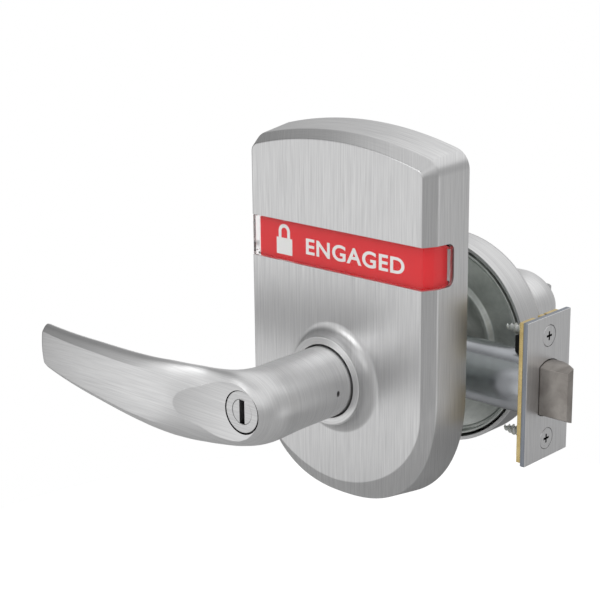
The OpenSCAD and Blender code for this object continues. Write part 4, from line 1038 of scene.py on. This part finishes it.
def section_points(height, widest, creased, peaked):
    half = []
    power = 2 - 0.25 * peaked
    steps = [crease * i / 8 for i in range(9)] + [crease + (1 - crease) * i / 7 for i in range(1, 8)]
    for i, z in enumerate(steps):
        turn = math.pi / 2 * i / (len(steps) - 1)
        past = max(0, (z - crease) / (1 - crease))
        face = 1 - face_fall * (min(z, crease) / crease) ** 2
        if past > 0:
            face = crease_face * (1 - bevel_lean * past - (1 - bevel_lean) * past ** 6)
        round_z = math.sin(turn)
        round_u = (1 - round_z ** power) ** (1 / power)
        half.append((widest + (1 - widest) * (round_u + creased * (face - round_u)),
                     round_z + creased * (z - round_z)))
    turns = [math.pi / 2 * i / 14 for i in range(1, 15)]
    half += [(widest * (1 - math.sin(turn)), math.cos(turn)) for turn in turns]
    return [(u, z * height) for u, z in half] + [(u, -z * height) for u, z in half[-2:0:-1]]


def cast_lever():
    shape = bmesh.new()
    loops = []
    for inner, outer, height, widest, creased, peaked in lever_rings():
        ring = []
        for u, z in section_points(height, widest, creased, peaked):
            s, d = Vector(inner) + (Vector(outer) - Vector(inner)) * u
            ring.append(shape.verts.new((-s, -d, z - sag(s, d) - belly(s, d, z))))
        loops.append(join_up(shape, ring))
    return close_form(shape, loops)


scoop_r = 63 * mm
scoop_z = -1.2 * mm
scoop_d = button_y - 0.25 * mm + scoop_r
ring_r = 8.05 * mm
ring_seat = button_y - 3.5 * mm
seat_r, seat_shift = ring_r + 0.45 * mm, 0.25 * mm
disc_r = 4.8 * mm
catch_d = collar_top + 7.7 * mm
dish = quarter((0, scoop_d), (scoop_r, scoop_r), 80, -90.0, -50.0)
bowl = turned([*dish, (dish[-1][0], scoop_d), (0, scoop_d)], steps=180, closed=False)
lever = combine(cast_lever(), shifted(bowl, (0, 0, scoop_z)))
scoop_centre = Vector((0, -scoop_d, scoop_z))


def off_scoop(place):
    return (place - scoop_centre).length - scoop_r


brink = [e for e in lever.edges if e.calc_face_angle(0) > math.radians(7)
         and all(abs(off_scoop(v.co)) < 0.03 * mm for v in e.verts)]
bevel_edges(lever, brink, 0.25 * mm, 2)
hollow_r, stem_hole_r = 8.05 * mm, 5.1 * mm
hollow = turned([(0, neck_start - mm), (hollow_r, neck_start - mm), (hollow_r, ring_seat - 2 * mm),
                 (stem_hole_r, ring_seat - 2 * mm), (stem_hole_r, ring_seat + mm), (0, ring_seat + mm)],
                closed=False)
lever = combine(lever, hollow)
seat = plug(seat_r, ring_seat, button_y + 12 * mm)
lever = combine(lever, shifted(seat, (seat_shift, 0, -0.4 * seat_shift)))


def cross_pin(radius, depth, segments, place):
    shape = bmesh.new()
    along_x = Matrix.Translation(place) @ Matrix.Rotation(math.pi / 2, 4, "Y")
    bmesh.ops.create_cone(shape, cap_ends=True, segments=segments, radius1=radius, radius2=radius,
                          depth=depth, matrix=along_x)
    return shape


pin_hole = cross_pin(0.75 * mm, 8 * mm, 32, (12 * mm, -catch_d, 0))
for v in pin_hole.verts:
    v.co.z += math.copysign(0.4 * mm, v.co.z)
lever = combine(lever, pin_hole)


def lever_grain(tree):
    x, y, z = place_parts(tree)
    return maths(tree, "MULTIPLY_ADD", y, 0.6, z), put(tree, "CombineXYZ", {"Y": x}).outputs[0]


def neck_share(tree):
    x, y, z = place_parts(tree)
    past_elbow = maths(tree, "MULTIPLY_ADD", x, -0.7, maths(tree, "ABSOLUTE", y))
    return rescaled(tree, past_elbow, 0.102, 0.086)


satin_lever = brushed("satin_lever", lever_grain, dark=(0.72, 0.72, 0.725), light=(0.90, 0.90, 0.90),
                      width=0.0008, second=(round_grain, neck_share))
# A near black finish gives painted shade on the ring seats' walls, the rings' outer walls and the coin slot,
# where the gaps and the slot lie in shade.
painted_gap_shade = moulded("painted_gap_shade", (0.004, 0.004, 0.004), 0.8, 0.05)
# A near white finish gives a painted highlight on the thin strip of faces along the dish's brink.
painted_brink_highlight = brushed("painted_brink_highlight", lever_grain, dark=(0.92, 0.92, 0.92), light=(0.97, 0.97, 0.97),
                      rough=0.5, width=0.0008)
mirrored = lever.copy()
bmesh.ops.scale(mirrored, vec=(1, -1, 1), verts=mirrored.verts)
bmesh.ops.recalc_face_normals(mirrored, faces=mirrored.faces)


def seat_wall(face):
    in_seat = math.hypot(face.center.x, face.center.z) < seat_r + 2 * seat_shift
    return in_seat and abs(face.center.y) > ring_seat - 0.1 * mm and abs(face.normal.y) < 0.3


for shape, node in ((lever, "lever_out"), (mirrored, "lever_in")):
    cast = link(shape, node + "_cast", satin_lever, node, sharp=13)
    off_dish = [off_scoop(Vector((v.co.x, -abs(v.co.y), v.co.z))) for v in cast.data.vertices]
    # The ring seat's wall takes painted shade.
    paint_faces(cast, painted_gap_shade, seat_wall)
    # The faces along the dish's brink take a painted highlight.
    paint_faces(cast, painted_brink_highlight, lambda face: not seat_wall(face)
          and 0.01 * mm < max(off_dish[i] for i in face.vertices) < 0.17 * mm)
    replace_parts(cast, node)


# A flat ring is pressed into the end of each lever. In the outside one sits a slotted disc that
# a coin can turn, in the inside one the stem of the thumb turn.
satin_flat = brushed("satin_flat", straight_grain((0.0, 0.0, 1.0), "X"), width=0.0005, length=0.02)
ring_bore = disc_r + 0.07 * mm
ring_profile = rounded(band(ring_bore, ring_r, ring_seat, button_y), 0.22 * mm)
for side, node, body in ((-1, "face_ring_out", "lever_out"), (1, "face_ring_in", "lever_in")):
    flat = link(turned(ring_profile, side=side), node + "_flat", satin_flat, body)
    # The ring's outer wall takes painted shade, for the dark gap round it.
    paint_faces(flat, painted_gap_shade, lambda face: abs(face.normal.y) < 0.3
          and math.hypot(face.center.x, face.center.z) > ring_r - 0.1 * mm)
    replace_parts(flat, node)
slot_w, slot_len, slot_floor = 2.6 * mm, 9.2 * mm, button_y - 4 * mm


def round_plug(radius, low, high, edge, side=-1):
    return turned(rounded(band(0, radius, low, high), edge), side=side, closed=False)


disc = round_plug(disc_r, ring_seat - mm, button_y - 0.15 * mm, 0.2 * mm)
disc = combine(disc, block((-slot_w / 2, -button_y - mm, -slot_len / 2),
                           (slot_w / 2, -slot_floor, slot_len / 2)))
slotted = link(disc, "turn_disc_slotted", satin_flat, "privacy_turn")
# The slot's walls and floor take painted shade.
paint_faces(slotted, painted_gap_shade, lambda face: abs(face.center.x) < slot_w / 2 + near
      and abs(face.center.z) < slot_len / 2 + near
      and 0.3 * mm - button_y < face.center.y < 0.8 * mm - ring_seat)
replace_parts(slotted, "turn_disc")
wing_half_t, wing_r, wing_len = 1.7 * mm, 7.4 * mm, 8 * mm
stem = round_plug(disc_r, ring_seat - mm, button_y + 1.6 * mm, 0.4 * mm, side=1)
wing = cross_pin(wing_r, 2 * wing_half_t, 96, (0, button_y + 3 * mm, 0))
wing = combine(wing, block((-5 * mm, button_y + 1.2 * mm, -wing_r), (5 * mm, button_y + wing_len, wing_r)),
               "INTERSECT")
thumb = combine(stem, soften(wing, 0.7 * mm, 4, 40), "UNION")
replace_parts(link(thumb, "thumb_turn_cast", satin_flat, "privacy_turn"), "thumb_turn")
